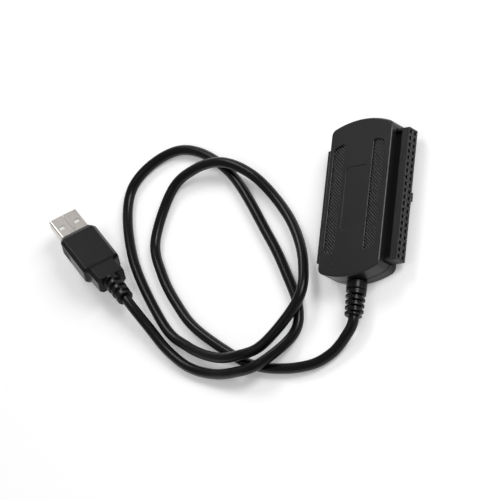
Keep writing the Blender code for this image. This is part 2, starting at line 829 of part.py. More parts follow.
def make_tube(name, path, radius, resolution, material):
    curve = bpy.data.curves.new(name, "CURVE")
    curve.dimensions = "3D"
    curve.bevel_depth = radius * MM
    curve.bevel_resolution = resolution
    curve.use_fill_caps = True
    curve.render_resolution_u = 0
    spline = curve.splines.new("POLY")
    spline.points.add(len(path) - 1)
    for point, place in zip(spline.points, path):
        point.co = (*(place * MM), 1.0)
    tube = bpy.data.objects.new(name, curve)
    bpy.context.scene.collection.objects.link(tube)
    tube.data.materials.append(material)
    return tube


def make_wires(materials):
    """Four wires from the inside of the strain relief up to their pads on the board."""
    start_y = 2 * seat_gap + flange_thickness - inside_end(flange_width / 2)
    pad_height = board_top + seat_gap + wire_radius
    for i, (name, material) in enumerate(materials):
        x = (i - 1.5) * wire_pitch
        route = [
            (x, start_y, relief_height), (x, start_y + 1.2, relief_height),
            (x * 1.2, (start_y + notch_y) / 2, (relief_height + pad_height) / 2),
            (x * wire_spread, notch_y - 1.0, pad_height), (x * wire_spread, notch_y + 1.5, pad_height),
        ]
        make_tube(name, smooth_path(route, 12), wire_radius, 1, material)


def main():
    for leftover in list(bpy.data.objects):
        bpy.data.objects.remove(leftover)

    satin_black = make_material("satin_black_plastic", (0.020, 0.020, 0.021), 0.42)
    socket_black = make_material("socket_plastic", (0.022, 0.022, 0.023), 0.5)
    cord_black = make_material("black_vinyl", (0.012, 0.012, 0.013), 0.25)
    nickel = make_material("nickel_plate", (0.72, 0.70, 0.66), 0.25, 1.0)
    gold = make_material("gold_plate", (0.85, 0.62, 0.25), 0.3, 1.0)
    board_green = make_material("circuit_board", (0.02, 0.16, 0.06), 0.4)
    chip_black = make_material("chip_case", (0.03, 0.03, 0.03), 0.6)
    ceramic = make_material("ceramic", (0.45, 0.33, 0.22), 0.5)
    clear = make_material("clear_plastic", (0.75, 0.78, 0.80), 0.15)
    tongue_white = make_material("tongue_plastic", (0.75, 0.75, 0.73), 0.45)

    make_upper_shell(satin_black)
    make_lower_shell(satin_black)
    make_board(board_green)
    make_board_parts(chip_black, nickel, ceramic, clear)
    make_wide_socket(socket_black)
    make_slim_socket(socket_black)
    make_header(socket_black, gold)
    relief, relief_end = make_strain_relief(cord_black)
    make_wires([
        ("wire_black", make_material("wire_black", (0.02, 0.02, 0.02), 0.4)),
        ("wire_green", make_material("wire_green", (0.03, 0.30, 0.08), 0.4)),
        ("wire_white", make_material("wire_white", (0.80, 0.80, 0.78), 0.4)),
        ("wire_red", make_material("wire_red", (0.55, 0.03, 0.03), 0.4)),
    ])

    grip, grip_end = make_grip(satin_black)
    plug_pieces = [grip, make_plug_shell(nickel)] + make_plug_core(tongue_white, gold)
    to_metres()
    seat = bpy.data.objects.new("plug_seat", None)
    bpy.context.scene.collection.objects.link(seat)
    seat.location = Vector(plug_place) * MM
    seat.rotation_euler = (math.radians(plug_lean), 0.0, math.radians(plug_heading))
    for piece in plug_pieces:
        piece.parent = seat

    heading = Vector((math.cos(math.radians(plug_heading)), math.sin(math.radians(plug_heading)), 0.0))
    cord_start = Vector((0.0, relief_end - seat_gap, relief_height))
    cord_end = Vector(plug_place) + heading * (grip_end + seat_gap)
    leave = cord_start - Vector((0.0, cord_straight, 0.0))
    arrive = cord_end + heading * cord_straight
    middle = smooth_path([leave] + [Vector(point) for point in cord_route] + [arrive], cord_samples)
    make_tube("cord", [cord_start] + middle + [cord_end], cord_radius, 3, cord_black)


main()
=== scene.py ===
# Look of a drive adapter head, its free cord and its moulded plug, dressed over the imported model.
# Settings are in millimetres in the model's own frame; finished meshes are turned to metres.
import json
import math

import bmesh
import bpy
from mathutils import Euler, Matrix, Vector

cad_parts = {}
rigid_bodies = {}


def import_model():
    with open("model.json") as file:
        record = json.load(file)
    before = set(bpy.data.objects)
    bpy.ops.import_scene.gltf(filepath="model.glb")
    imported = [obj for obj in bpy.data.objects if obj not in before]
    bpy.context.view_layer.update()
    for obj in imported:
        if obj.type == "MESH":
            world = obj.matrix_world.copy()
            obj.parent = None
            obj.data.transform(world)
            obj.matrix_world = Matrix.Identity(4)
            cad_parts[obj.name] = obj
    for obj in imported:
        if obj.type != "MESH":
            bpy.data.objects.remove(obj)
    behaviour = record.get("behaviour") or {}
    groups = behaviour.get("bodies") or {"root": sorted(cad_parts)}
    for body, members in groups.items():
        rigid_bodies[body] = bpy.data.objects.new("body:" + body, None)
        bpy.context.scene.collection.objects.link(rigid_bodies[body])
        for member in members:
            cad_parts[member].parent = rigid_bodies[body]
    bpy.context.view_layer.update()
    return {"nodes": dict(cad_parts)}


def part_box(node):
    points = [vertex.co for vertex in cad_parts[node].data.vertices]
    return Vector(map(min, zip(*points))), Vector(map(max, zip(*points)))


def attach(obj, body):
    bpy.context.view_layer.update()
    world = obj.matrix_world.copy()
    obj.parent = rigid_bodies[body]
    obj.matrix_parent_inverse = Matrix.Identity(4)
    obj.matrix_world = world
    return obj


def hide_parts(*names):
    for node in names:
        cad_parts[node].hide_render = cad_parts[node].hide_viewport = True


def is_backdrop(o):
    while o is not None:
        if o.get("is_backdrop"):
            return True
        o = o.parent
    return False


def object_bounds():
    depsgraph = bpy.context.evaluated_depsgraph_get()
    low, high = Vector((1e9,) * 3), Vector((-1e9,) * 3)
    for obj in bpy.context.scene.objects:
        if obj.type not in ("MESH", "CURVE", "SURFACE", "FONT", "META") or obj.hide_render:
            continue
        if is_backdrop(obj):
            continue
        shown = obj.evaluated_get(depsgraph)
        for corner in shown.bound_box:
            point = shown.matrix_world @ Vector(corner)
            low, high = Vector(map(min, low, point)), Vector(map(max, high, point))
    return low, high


for leftover in list(bpy.data.objects):
    bpy.data.objects.remove(leftover)
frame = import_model()
mm = 0.001
print("frame loaded:", len(frame["nodes"]), "nodes")


def nodeBox(node):
    low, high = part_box(node)
    return low / mm, high / mm


def nodeMiddle(node, axis):
    low, high = nodeBox(node)
    return (low[axis] + high[axis]) / 2


# Camera at the photograph's angle. The picture is turned, so the head stands almost upright in it.
cameraSettings = {
    "lens": 237.6,
    "sensor": 36.0,
    "azimuth": 62.806,
    "elevation": 45.386,
    "roll": -63.4,
    "distance": 1247.35,
    "target": (-57.2, -9.6, 0.0),
}


def makeCamera(settings):
    azimuth, elevation, roll = (math.radians(settings[key]) for key in ("azimuth", "elevation", "roll"))
    level = Vector((math.cos(azimuth), math.sin(azimuth), 0))
    back = Vector((math.sin(azimuth) * math.cos(elevation), -math.cos(azimuth) * math.cos(elevation),
                   math.sin(elevation)))
    upright = back.cross(level)
    right = level * math.cos(roll) + upright * math.sin(roll)
    up = upright * math.cos(roll) - level * math.sin(roll)
    data = bpy.data.cameras.new("camera")
    data.lens = settings["lens"]
    data.sensor_width = settings["sensor"]
    data.clip_start = 0.05
    data.clip_end = 20
    eye = bpy.data.objects.new("camera", data)
    bpy.context.scene.collection.objects.link(eye)
    turned = Matrix((right, up, back)).transposed().to_4x4()
    turned.translation = (Vector(settings["target"]) + back * settings["distance"]) * mm
    eye.matrix_world = turned
    bpy.context.scene.camera = eye


makeCamera(cameraSettings)


# Mesh helpers: loops of points, lofts between them and Booleans

def meshObject(name, bm):
    bmesh.ops.recalc_face_normals(bm, faces=bm.faces)
    mesh = bpy.data.meshes.new(name)
    bm.to_mesh(mesh)
    bm.free()
    piece = bpy.data.objects.new(name, mesh)
    bpy.context.scene.collection.objects.link(piece)
    return piece


def takeEvaluated(piece):
    # Bakes the piece's modifiers into its mesh
    evaluated = piece.evaluated_get(bpy.context.evaluated_depsgraph_get())
    mesh = bpy.data.meshes.new_from_object(evaluated)
    piece.modifiers.clear()
    piece.data = mesh
    mesh.name = piece.name


def combine(piece, bm, operation="DIFFERENCE"):
    tool = meshObject(piece.name + "Tool", bm)
    modifier = piece.modifiers.new(operation, "BOOLEAN")
    modifier.operation = operation
    modifier.solver = "EXACT"
    modifier.object = tool
    takeEvaluated(piece)
    bpy.data.objects.remove(tool)


def addLoft(bm, loops):
    rings = [[bm.verts.new(point) for point in loop] for loop in loops]
    count = len(rings[0])
    for first, second in zip(rings, rings[1:]):
        for i in range(count):
            j = (i + 1) % count
            bm.faces.new((first[i], first[j], second[j], second[i]))
    bm.faces.new(reversed(rings[0]))
    bm.faces.new(rings[-1])
    return bm


def addPrism(bm, outline, start, end):
    # Outline in X and Y, drawn out along Z
    return addLoft(bm, [[(x, y, z) for x, y in outline] for z in (start, end)])


def addBlock(bm, low, high):
    corners = [(low[0], low[1]), (high[0], low[1]), (high[0], high[1]), (low[0], high[1])]
    return addPrism(bm, corners, low[2], high[2])


def softBlock(low, high, radius, segments=3):
    # Block whose edges are all rounded
    bm = addBlock(bmesh.new(), low, high)
    bmesh.ops.recalc_face_normals(bm, faces=bm.faces)
    bmesh.ops.bevel(bm, geom=list(bm.edges), offset=radius, segments=segments, profile=0.5, affect="EDGES")
    return bm


def arc(centre, radius, start, end, steps):
    points = []
    for i in range(steps + 1):
        angle = math.radians(start + (end - start) * i / steps)
        points.append((centre[0] + radius * math.cos(angle), centre[1] + radius * math.sin(angle)))
    return points


def roundedRectangle(width, height, radius, centre=(0.0, 0.0), steps=8):
    points = []
    for quarter, (sx, sy) in enumerate(((1, 1), (-1, 1), (-1, -1), (1, -1))):
        middle = (centre[0] + sx * (width / 2 - radius), centre[1] + sy * (height / 2 - radius))
        points += arc(middle, radius, 90 * quarter, 90 * quarter + 90, steps)
    return points


def filleted(corners, radius, steps=4):
    # Rounds every corner of a convex outline
    points = []
    for i, corner in enumerate(corners):
        corner = Vector(corner)
        before = (Vector(corners[i - 1]) - corner).normalized()
        after = (Vector(corners[(i + 1) % len(corners)]) - corner).normalized()
        half = before.angle(after) / 2
        middle = corner + (before + after).normalized() * radius / math.sin(half)
        start = corner + before * radius / math.tan(half) - middle
        turn = start.angle_signed(corner + after * radius / math.tan(half) - middle)
        for step in range(steps + 1):
            points.append(tuple(middle + Matrix.Rotation(-turn * step / steps, 2) @ start))
    return points


def pocketCutter(outlineAt, floor, top, rim, foot=0.12, steps=4):
    # Cutter for a pocket in a flat top, with a rounded rim and a rounded foot
    loops = []
    for i in range(steps + 1):
        angle = math.radians(90 * i / steps)
        loops.append((foot * (1 - math.sin(angle)), floor + foot * (1 - math.cos(angle))))
    for i in range(steps + 1):
        angle = math.radians(90 * i / steps)
        loops.append((-rim * (1 - math.cos(angle)), top - rim * (1 - math.sin(angle))))
    loops.append((-rim, top + 0.6))
    return addLoft(bmesh.new(), [[(x, y, z) for x, y in outlineAt(inset)] for inset, z in loops])


def finish(piece, material, nodes, angle=32.0, turn=None):
    # Smooth shading, real size, final place, material and the frame's calls
    mesh = piece.data
    mesh.transform(turn or Matrix.Identity(4))
    mesh.transform(Matrix.Scale(mm, 4))
    mesh.shade_smooth()
    mesh.set_sharp_from_angle(angle=math.radians(angle))
    weighted = piece.modifiers.new("weighted", "WEIGHTED_NORMAL")
    weighted.keep_sharp = True
    takeEvaluated(piece)
    piece.data.materials.clear()
    piece.data.materials.append(material)
    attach(piece, "root")
    if nodes:
        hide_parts(*nodes)
    return piece


# Material helpers

def hexColour(code):
    parts = [int(code[i:i + 2], 16) / 255 for i in (1, 3, 5)]
    return tuple(v / 12.92 if v <= 0.04045 else ((v + 0.055) / 1.055) ** 2.4 for v in parts) + (1.0,)


def addNode(tree, kind, settings=None, links=None):
    node = tree.nodes.new(kind)
    for name, value in (settings or {}).items():
        if isinstance(name, int) or name in node.inputs:
            node.inputs[name].default_value = value
        else:
            setattr(node, name, value)
    for name, source in (links or {}).items():
        tree.links.new(source, node.inputs[name])
    return node


def newMaterial(name):
    material = bpy.data.materials.new(name)
    material.use_nodes = True
    tree = material.node_tree
    return material, tree, tree.nodes["Principled BSDF"]


# Materials, each named for what the real one is

plugHeading = -44.2      # the plug's heading in degrees, along which its sheet is rolled


def blackAbs():
    # Injection-moulded ABS with a fine spark-eroded skin: near-black, satin, with a faint grain.
    # The real grain is about 0.1 mm; it is drawn at 0.3 mm so that it shows.
    material, tree, shader = newMaterial("satinBlackAbs")
    place = addNode(tree, "ShaderNodeTexCoord").outputs["Object"]
    grain = addNode(tree, "ShaderNodeTexNoise", {"Scale": 1 / (0.3 * mm), "Detail": 2.0}, {"Vector": place})
    cloud = addNode(tree, "ShaderNodeTexNoise", {"Scale": 1 / (14 * mm), "Detail": 3.0}, {"Vector": place})
    tone = addNode(tree, "ShaderNodeValToRGB", None, {"Fac": cloud.outputs["Fac"]})
    tone.color_ramp.elements[0].color = hexColour("#121213")
    tone.color_ramp.elements[1].color = hexColour("#18181a")
    gloss = addNode(tree, "ShaderNodeMapRange", {"To Min": 0.29, "To Max": 0.38}, {"Value": cloud.outputs["Fac"]})
    shader.inputs["Specular IOR Level"].default_value = 0.45
    bump = addNode(tree, "ShaderNodeBump", {"Strength": 0.12, "Distance": 0.03 * mm},
                   {"Height": grain.outputs["Fac"]})
    tree.links.new(tone.outputs["Color"], shader.inputs["Base Color"])
    tree.links.new(gloss.outputs["Result"], shader.inputs["Roughness"])
    tree.links.new(bump.outputs["Normal"], shader.inputs["Normal"])
    return material


def socketPlastic():
    # Glass-filled polyester of pin sockets: a dry, slightly greyer black with tiny pale glass specks
    material, tree, shader = newMaterial("glassFilledPolyester")
    place = addNode(tree, "ShaderNodeTexCoord").outputs["Object"]
    speck = addNode(tree, "ShaderNodeTexNoise", {"Scale": 1 / (0.25 * mm), "Detail": 1.0}, {"Vector": place})
    tone = addNode(tree, "ShaderNodeValToRGB", None, {"Fac": speck.outputs["Fac"]})
    tone.color_ramp.elements[0].color = hexColour("#101011")
    tone.color_ramp.elements[1].color = hexColour("#1d1d1e")
    bump = addNode(tree, "ShaderNodeBump", {"Strength": 0.15, "Distance": 0.02 * mm},
                   {"Height": speck.outputs["Fac"]})
    shader.inputs["Roughness"].default_value = 0.42
    shader.inputs["Specular IOR Level"].default_value = 0.36
    tree.links.new(tone.outputs["Color"], shader.inputs["Base Color"])
    tree.links.new(bump.outputs["Normal"], shader.inputs["Normal"])
    return material


def cordVinyl():
    # Extruded soft PVC: deep black with a soft shine and the faint long ripples that the wires inside leave
    material, tree, shader = newMaterial("extrudedBlackVinyl")
    along = addNode(tree, "ShaderNodeUVMap", {"uv_map": "cordMap"}).outputs["UV"]
    stretch = addNode(tree, "ShaderNodeMapping", {"Scale": (2.0, 1.0, 1.0)}, {"Vector": along})
    ripple = addNode(tree, "ShaderNodeTexNoise", {"Scale": 2.0, "Detail": 2.0},
                     {"Vector": stretch.outputs["Vector"]})
    place = addNode(tree, "ShaderNodeTexCoord").outputs["Object"]
    smear = addNode(tree, "ShaderNodeTexNoise", {"Scale": 1 / (5 * mm), "Detail": 3.0}, {"Vector": place})
    gloss = addNode(tree, "ShaderNodeMapRange", {"To Min": 0.24, "To Max": 0.36}, {"Value": smear.outputs["Fac"]})
    bump = addNode(tree, "ShaderNodeBump", {"Strength": 0.25, "Distance": 0.12 * mm},
                   {"Height": ripple.outputs["Fac"]})
    shader.inputs["Base Color"].default_value = hexColour("#060607")
    shader.inputs["Specular IOR Level"].default_value = 0.21
    tree.links.new(gloss.outputs["Result"], shader.inputs["Roughness"])
    tree.links.new(bump.outputs["Normal"], shader.inputs["Normal"])
    return material


def mouldedVinyl(name, low, high, specular):
    # Soft PVC moulded over the cord's ends: smooth and black, duller than the cord
    material, tree, shader = newMaterial(name)
    place = addNode(tree, "ShaderNodeTexCoord").outputs["Object"]
    cloud = addNode(tree, "ShaderNodeTexNoise", {"Scale": 1 / (3 * mm), "Detail": 4.0}, {"Vector": place})
    tone = addNode(tree, "ShaderNodeValToRGB", None, {"Fac": cloud.outputs["Fac"]})
    tone.color_ramp.elements[0].color = hexColour(low)
    tone.color_ramp.elements[1].color = hexColour(high)
    gloss = addNode(tree, "ShaderNodeMapRange", {"To Min": 0.26, "To Max": 0.34}, {"Value": cloud.outputs["Fac"]})
    shader.inputs["Specular IOR Level"].default_value = specular
    bump = addNode(tree, "ShaderNodeBump", {"Strength": 0.1, "Distance": 0.05 * mm},
                   {"Height": cloud.outputs["Fac"]})
    tree.links.new(tone.outputs["Color"], shader.inputs["Base Color"])
    tree.links.new(gloss.outputs["Result"], shader.inputs["Roughness"])
    tree.links.new(bump.outputs["Normal"], shader.inputs["Normal"])
    return material


def platedMetal(name, low, high, roughness, grain):
    # Plated sheet, drawn and rolled: fine scratches in one direction and a slight warm cast
    material, tree, shader = newMaterial(name)
    place = addNode(tree, "ShaderNodeTexCoord").outputs["Object"]
    stretch = addNode(tree, "ShaderNodeMapping", {"Rotation": (0.0, 0.0, math.radians(-plugHeading)),
                                                  "Scale": (0.15, 1.0, 1.0)}, {"Vector": place})
    lines = addNode(tree, "ShaderNodeTexNoise", {"Scale": 1 / (grain * mm), "Detail": 3.0},
                    {"Vector": stretch.outputs["Vector"]})
    tone = addNode(tree, "ShaderNodeValToRGB", None, {"Fac": lines.outputs["Fac"]})
    tone.color_ramp.elements[0].color = hexColour(low)
    tone.color_ramp.elements[1].color = hexColour(high)
    gloss = addNode(tree, "ShaderNodeMapRange", {"To Min": roughness - 0.02, "To Max": roughness + 0.05},
                    {"Value": lines.outputs["Fac"]})
    bump = addNode(tree, "ShaderNodeBump", {"Strength": 0.1, "Distance": 0.02 * mm},
                   {"Height": lines.outputs["Fac"]})
    shader.inputs["Metallic"].default_value = 1.0
    tree.links.new(tone.outputs["Color"], shader.inputs["Base Color"])
    tree.links.new(gloss.outputs["Result"], shader.inputs["Roughness"])
    tree.links.new(bump.outputs["Normal"], shader.inputs["Normal"])
    return material


def mottled(name, low, high, size, roughness, transmission=0.0):
    # Plain moulded, fired or dipped finish whose tone drifts a little from place to place
    material, tree, shader = newMaterial(name)
    place = addNode(tree, "ShaderNodeTexCoord").outputs["Object"]
    cloud = addNode(tree, "ShaderNodeTexNoise", {"Scale": 1 / (size * mm), "Detail": 3.0}, {"Vector": place})
    tone = addNode(tree, "ShaderNodeValToRGB", None, {"Fac": cloud.outputs["Fac"]})
    tone.color_ramp.elements[0].color = hexColour(low)
    tone.color_ramp.elements[1].color = hexColour(high)
    bump = addNode(tree, "ShaderNodeBump", {"Strength": 0.08, "Distance": 0.02 * mm},
                   {"Height": cloud.outputs["Fac"]})
    shader.inputs["Roughness"].default_value = roughness
    shader.inputs["Transmission Weight"].default_value = transmission
    tree.links.new(tone.outputs["Color"], shader.inputs["Base Color"])
    tree.links.new(bump.outputs["Normal"], shader.inputs["Normal"])
    return material


def boardLacquer():
    # Green solder lacquer over copper tracks, which show as paler lines a millimetre or so apart
    material, tree, shader = newMaterial("greenSolderLacquer")
    place = addNode(tree, "ShaderNodeTexCoord").outputs["Object"]
    tracks = addNode(tree, "ShaderNodeTexBrick", {"Scale": 1 / (4 * mm), "Mortar Size": 0.04,
                                                  "Color1": hexColour("#0f5a2c"), "Color2": hexColour("#126633"),
                                                  "Mortar": hexColour("#2e8a4c")}, {"Vector": place})
    bump = addNode(tree, "ShaderNodeBump", {"Strength": 0.2, "Distance": 0.03 * mm},
                   {"Height": tracks.outputs["Fac"]})
    shader.inputs["Roughness"].default_value = 0.35
    tree.links.new(tracks.outputs["Color"], shader.inputs["Base Color"])
    tree.links.new(bump.outputs["Normal"], shader.inputs["Normal"])
    return material


absPlastic = blackAbs()
polyester = socketPlastic()
vinylCord = cordVinyl()
vinylMoulding = mouldedVinyl("mouldedBlackVinyl", "#0a0a0b", "#101011", 0.28)
# Darker copy of the same moulded vinyl for the head's strain relief: its darker colour is painted shade, not a
# different material
vinylSleevePaintedShade = mouldedVinyl("sleeveBlackVinyl", "#060607", "#0a0a0b", 0.19)
nickelSteel = platedMetal("nickelPlatedSteel", "#c4beb9", "#d4cfca", 0.28, 0.35)
goldFlash = platedMetal("goldFlash", "#c89a45", "#e6bf6e", 0.25, 0.3)
tinPlate = platedMetal("tinPlatedBrass", "#a9a8a4", "#c2c1bd", 0.35, 0.4)
whiteNylon = mottled("whiteNylon", "#dcdcd8", "#ececea", 2.0, 0.42)
boardGreen = boardLacquer()
chipEpoxy = mottled("mouldedEpoxy", "#1c1c1d", "#262627", 0.4, 0.55)
firedCeramic = mottled("firedCeramic", "#a07c55", "#b8926a", 0.5, 0.5)
clearAcrylic = mottled("clearAcrylic", "#e4e8ea", "#f2f4f5", 1.0, 0.12, 0.85)
smokedAcrylic = mottled("smokedAcrylic", "#2c2f31", "#383c3e", 1.0, 0.12, 0.4)
wireColours = {
    "wire_black": ("#141414", "#1c1c1c"),
    "wire_green": ("#1d7a38", "#23883f"),
    "wire_white": ("#dededb", "#ededea"),
    "wire_red": ("#a81a1a", "#b92222"),
}
print("materials made")


# Cord: a soft lead that leaves the head, turns over itself in two loops and ends in the plug
cordSettings = {
    "radius": 2.0,
    "straight": 1.5,     # straight run out of the strain relief and into the plug
    "samples": 520,
    "sides": 24,
    "gap": 0.3,
    "route": [
        (-1.1, -48.4, 4.0), (-3.5, -51.2, 3.5), (-6.4, -53.9, 2.8), (-10.4, -56.7, 2.3),
        (-16.9, -59.3, 2.05), (-24.5, -60.2, 2.05), (-32.9, -59.9, 2.05), (-43.0, -58.2, 2.05),
        (-54.4, -53.9, 2.05), (-77.2, -39.8, 2.05), (-89.4, -27.7, 2.05), (-98.8, -14.6, 2.05),
        (-104.3, -0.2, 2.05), (-98.5, 19.5, 2.5), (-85.9, 25.7, 4.8), (-70.7, 25.7, 6.5),
        (-56.9, 19.5, 4.8), (-45.2, 8.8, 2.5), (-34.3, -4.7, 2.5), (-26.3, -20.1, 4.8),
        (-25.4, -35.2, 6.5), (-39.9, -50.4, 5.9), (-51.4, -54.2, 6.7), (-64.3, -53.0, 5.0),
        (-80.6, -46.2, 2.5), (-95.3, -35.0, 2.05), (-115.7, -4.5, 2.05), (-120.0, 23.9, 2.05),
        (-97.8, 36.3, 2.05), (-71.0, 23.8, 2.05), (-46.9, -6.1, 2.05), (-36.0, -22.6, 2.05),
        (-28.7, -36.6, 2.05), (-29.4, -47.5, 2.6), (-40.9, -58.6, 6.5), (-54.9, -60.0, 4.8),
        (-67.6, -58.3, 2.5), (-79.6, -54.2, 2.1), (-90.5, -46.6, 2.8), (-99.6, -37.2, 4.6),
        (-106.9, -29.3, 6.6),
    ],
}

# Where the plug lies: the middle of its open mouth, its heading and its lean on one edge
plugPlace = {"mouth": (-150.6, 13.5, 7.1), "heading": plugHeading, "lean": -35.0, "length": 54.5}
plugAngles = Euler((math.radians(plugPlace["lean"]), 0, math.radians(plugPlace["heading"])))
plugTurn = Matrix.Translation(plugPlace["mouth"]) @ plugAngles.to_matrix().to_4x4()


def smoothPath(points, samples):
    # Even samples of a smooth curve that passes through the points
    padded = [2 * points[0] - points[1]] + points + [2 * points[-1] - points[-2]]
    dense = []
    for before, start, end, after in zip(padded, padded[1:], padded[2:], padded[3:]):
        for i in range(24):
            t = i / 24
            dense.append(0.5 * (2 * start + (end - before) * t
                                + (2 * before - 5 * start + 4 * end - after) * t ** 2
                                + (3 * start - before - 3 * end + after) * t ** 3))
    dense.append(points[-1])
    lengths = [0.0]
    for first, second in zip(dense, dense[1:]):
        lengths.append(lengths[-1] + (second - first).length)
    result = []
    place = 0
    for i in range(samples):
        target = lengths[-1] * i / (samples - 1)
        while place < len(dense) - 2 and lengths[place + 1] < target:
            place += 1
        share = (target - lengths[place]) / (lengths[place + 1] - lengths[place])
        result.append(dense[place].lerp(dense[place + 1], share))
    return result


def cordPath(settings):
    reliefEnd = nodeBox("strain_relief")[0].y
    start = Vector((0, reliefEnd - settings["gap"], nodeMiddle("strain_relief", 2)))
    axis = (plugTurn.to_3x3() @ Vector((1, 0, 0))).normalized()
    end = Vector(plugPlace["mouth"]) + axis * (plugPlace["length"] + settings["gap"])
    leave = start - Vector((0, settings["straight"], 0))
    arrive = end + axis * settings["straight"]
    route = [leave] + [Vector(point) for point in settings["route"]] + [arrive]
    return [start] + smoothPath(route, settings["samples"]) + [end]


def makeCord(settings, path):
    # Tube with a map that runs once round it, and along it by one for each centimetre
    bm = bmesh.new()
    layer = bm.loops.layers.uv.new("cordMap")
    sides = settings["sides"]
    rings = []
    run = [0.0]
    across = None
    for i, point in enumerate(path):
        ahead = path[min(i + 1, len(path) - 1)] - path[max(i - 1, 0)]
        ahead.normalize()
        across = (across or Vector((0, 0, 1))) - ahead * (across or Vector((0, 0, 1))).dot(ahead)
        across.normalize()
        other = ahead.cross(across)
        ring = []
        for side in range(sides):
            angle = 2 * math.pi * side / sides
            ring.append(bm.verts.new(point + (across * math.cos(angle) + other * math.sin(angle))
                                     * settings["radius"]))
        rings.append(ring)
        if i:
            run.append(run[-1] + (point - path[i - 1]).length)
    for i in range(len(rings) - 1):
        for side in range(sides):
            after = (side + 1) % sides
            face = bm.faces.new((rings[i][side], rings[i][after], rings[i + 1][after], rings[i + 1][side]))
            corners = ((side, i), (side + 1, i), (side + 1, i + 1), (side, i + 1))
            for loop, (u, v) in zip(face.loops, corners):
                loop[layer].uv = (u / sides, run[v] / 10)
    bm.faces.new(reversed(rings[0]))
    bm.faces.new(rings[-1])
    return meshObject("cordLead", bm)


path = cordPath(cordSettings)
cordPiece = makeCord(cordSettings, path)
finish(cordPiece, vinylCord, ["cord"], 60)


# Head housing: two moulded shells that meet at a seam

housing = {
    "endBow": 3.1,           # how far each bowed end stands out past its corners
    "cornerRadius": 2.6,
    "edgeRadius": 0.65,
    "seamEdge": 0.12,
    "wall": 1.6,
    "skin": 1.5,
    "lipWall": 0.7,
    "lipHeight": 0.8,
    "lipGap": 0.25,          # clearance between the lip and its shoulder
    "window": 4.2,           # depth of the openings for the sockets
    "gap": 0.3,              # clearance around the sockets, the header and the strain relief
    "postRadius": 1.5,
    "postPlaces": [(-5.6, -18.85), (5.6, -18.85), (-5.6, 17.6), (5.6, 17.6)],
}
gripBands = {
    "width": 5.0,
    "length": 44.6,
    "depth": 0.9,
    "corner": 1.3,
    "centres": [(-9.7, 0.3), (8.7, 0.3)],
    "ribPitch": 1.28,
    "ribRadius": 0.28,
    "ribRise": 0.17,         # how far a rib's middle stands above the floor
    "ribGap": 0.02,          # from the ends of the ribs to the wall of their pocket
    "rim": 0.28,
}
labelRecess = {
    "width": 10.2, "length": 25.0, "corner": 1.6, "depth": 0.2, "centre": (-0.2, -0.3), "rim": 0.1, "foot": 0.05,
}
lightPipeGap = 0.08

upperLow, upperHigh = nodeBox("upper_shell")
lipTop = nodeBox("lower_shell")[1].z
halfWidth = upperHigh.x
halfLength = upperHigh.y
housingTop = upperHigh.z
seamTop = upperLow.z
boardMiddle = nodeMiddle("circuit_board", 2)
bowRadius = (halfWidth ** 2 + housing["endBow"] ** 2) / (2 * housing["endBow"])


def housingOutline(inset, cornerSteps=12, bowSteps=40):
    # Straight sides, bowed ends and rounded corners, moved in by inset
    radius = housing["cornerRadius"]
    bow = bowRadius
    across = halfWidth - radius
    middle = halfLength - bow
    up = middle + math.sqrt((bow - radius) ** 2 - across ** 2)
    tangent = math.degrees(math.atan2(up - middle, across))
    corner = arc((across, up), radius - inset, 0, tangent, cornerSteps)
    end = arc((0.0, middle), bow - inset, tangent, 180 - tangent, bowSteps)
    half = corner + end[1:-1] + [(-x, y) for x, y in reversed(corner)]
    return half + [(-x, -y) for x, y in half]


def level(inset, z):
    return [(x, y, z) for x, y in housingOutline(inset)]


def roundedEdge(z, direction, radius, steps):
    # Loops that turn from the side of the housing to a flat face at z
    loops = []
    for i in range(steps + 1):
        angle = math.radians(90 * i / steps)
        loops.append(level(radius * (1 - math.cos(angle)), z - direction * radius * (1 - math.sin(angle))))
    return loops


def openHousing(shell):
    # Windows for both sockets and the header, and the strain relief's tunnel
    gap = housing["gap"]
    for node, side in (("drive_socket_40", 1), ("drive_socket_44", -1)):
        low, high = nodeBox(node)
        x = sorted((side * (halfWidth - housing["window"]), side * (halfWidth + gap)))
        thickness = (high.z - boardMiddle) + gap
        combine(shell, addBlock(bmesh.new(), (x[0], low.y - gap, boardMiddle - thickness),
                                (x[1], high.y + gap, boardMiddle + thickness)))
    low, high = nodeBox("serial_header")
    combine(shell, addBlock(bmesh.new(), (low.x - gap, low.y - gap, low.z - gap),
                            (high.x + gap, halfLength + 1, high.z + gap)))
    axis = nodeMiddle("strain_relief", 2)
    ends = []
    for y in (-halfLength - 1, -halfLength + housing["wall"] + 1):
        ends.append([(x, y, z) for x, z in arc((0, axis), reliefSettings["neck"] + gap, 0, 350, 35)])
    combine(shell, addLoft(bmesh.new(), ends))


def addPosts(shell, start, end):
    posts = bmesh.new()
    for place in housing["postPlaces"]:
        addPrism(posts, arc(place, housing["postRadius"], 0, 348, 29), start, end)
    combine(shell, posts, "UNION")


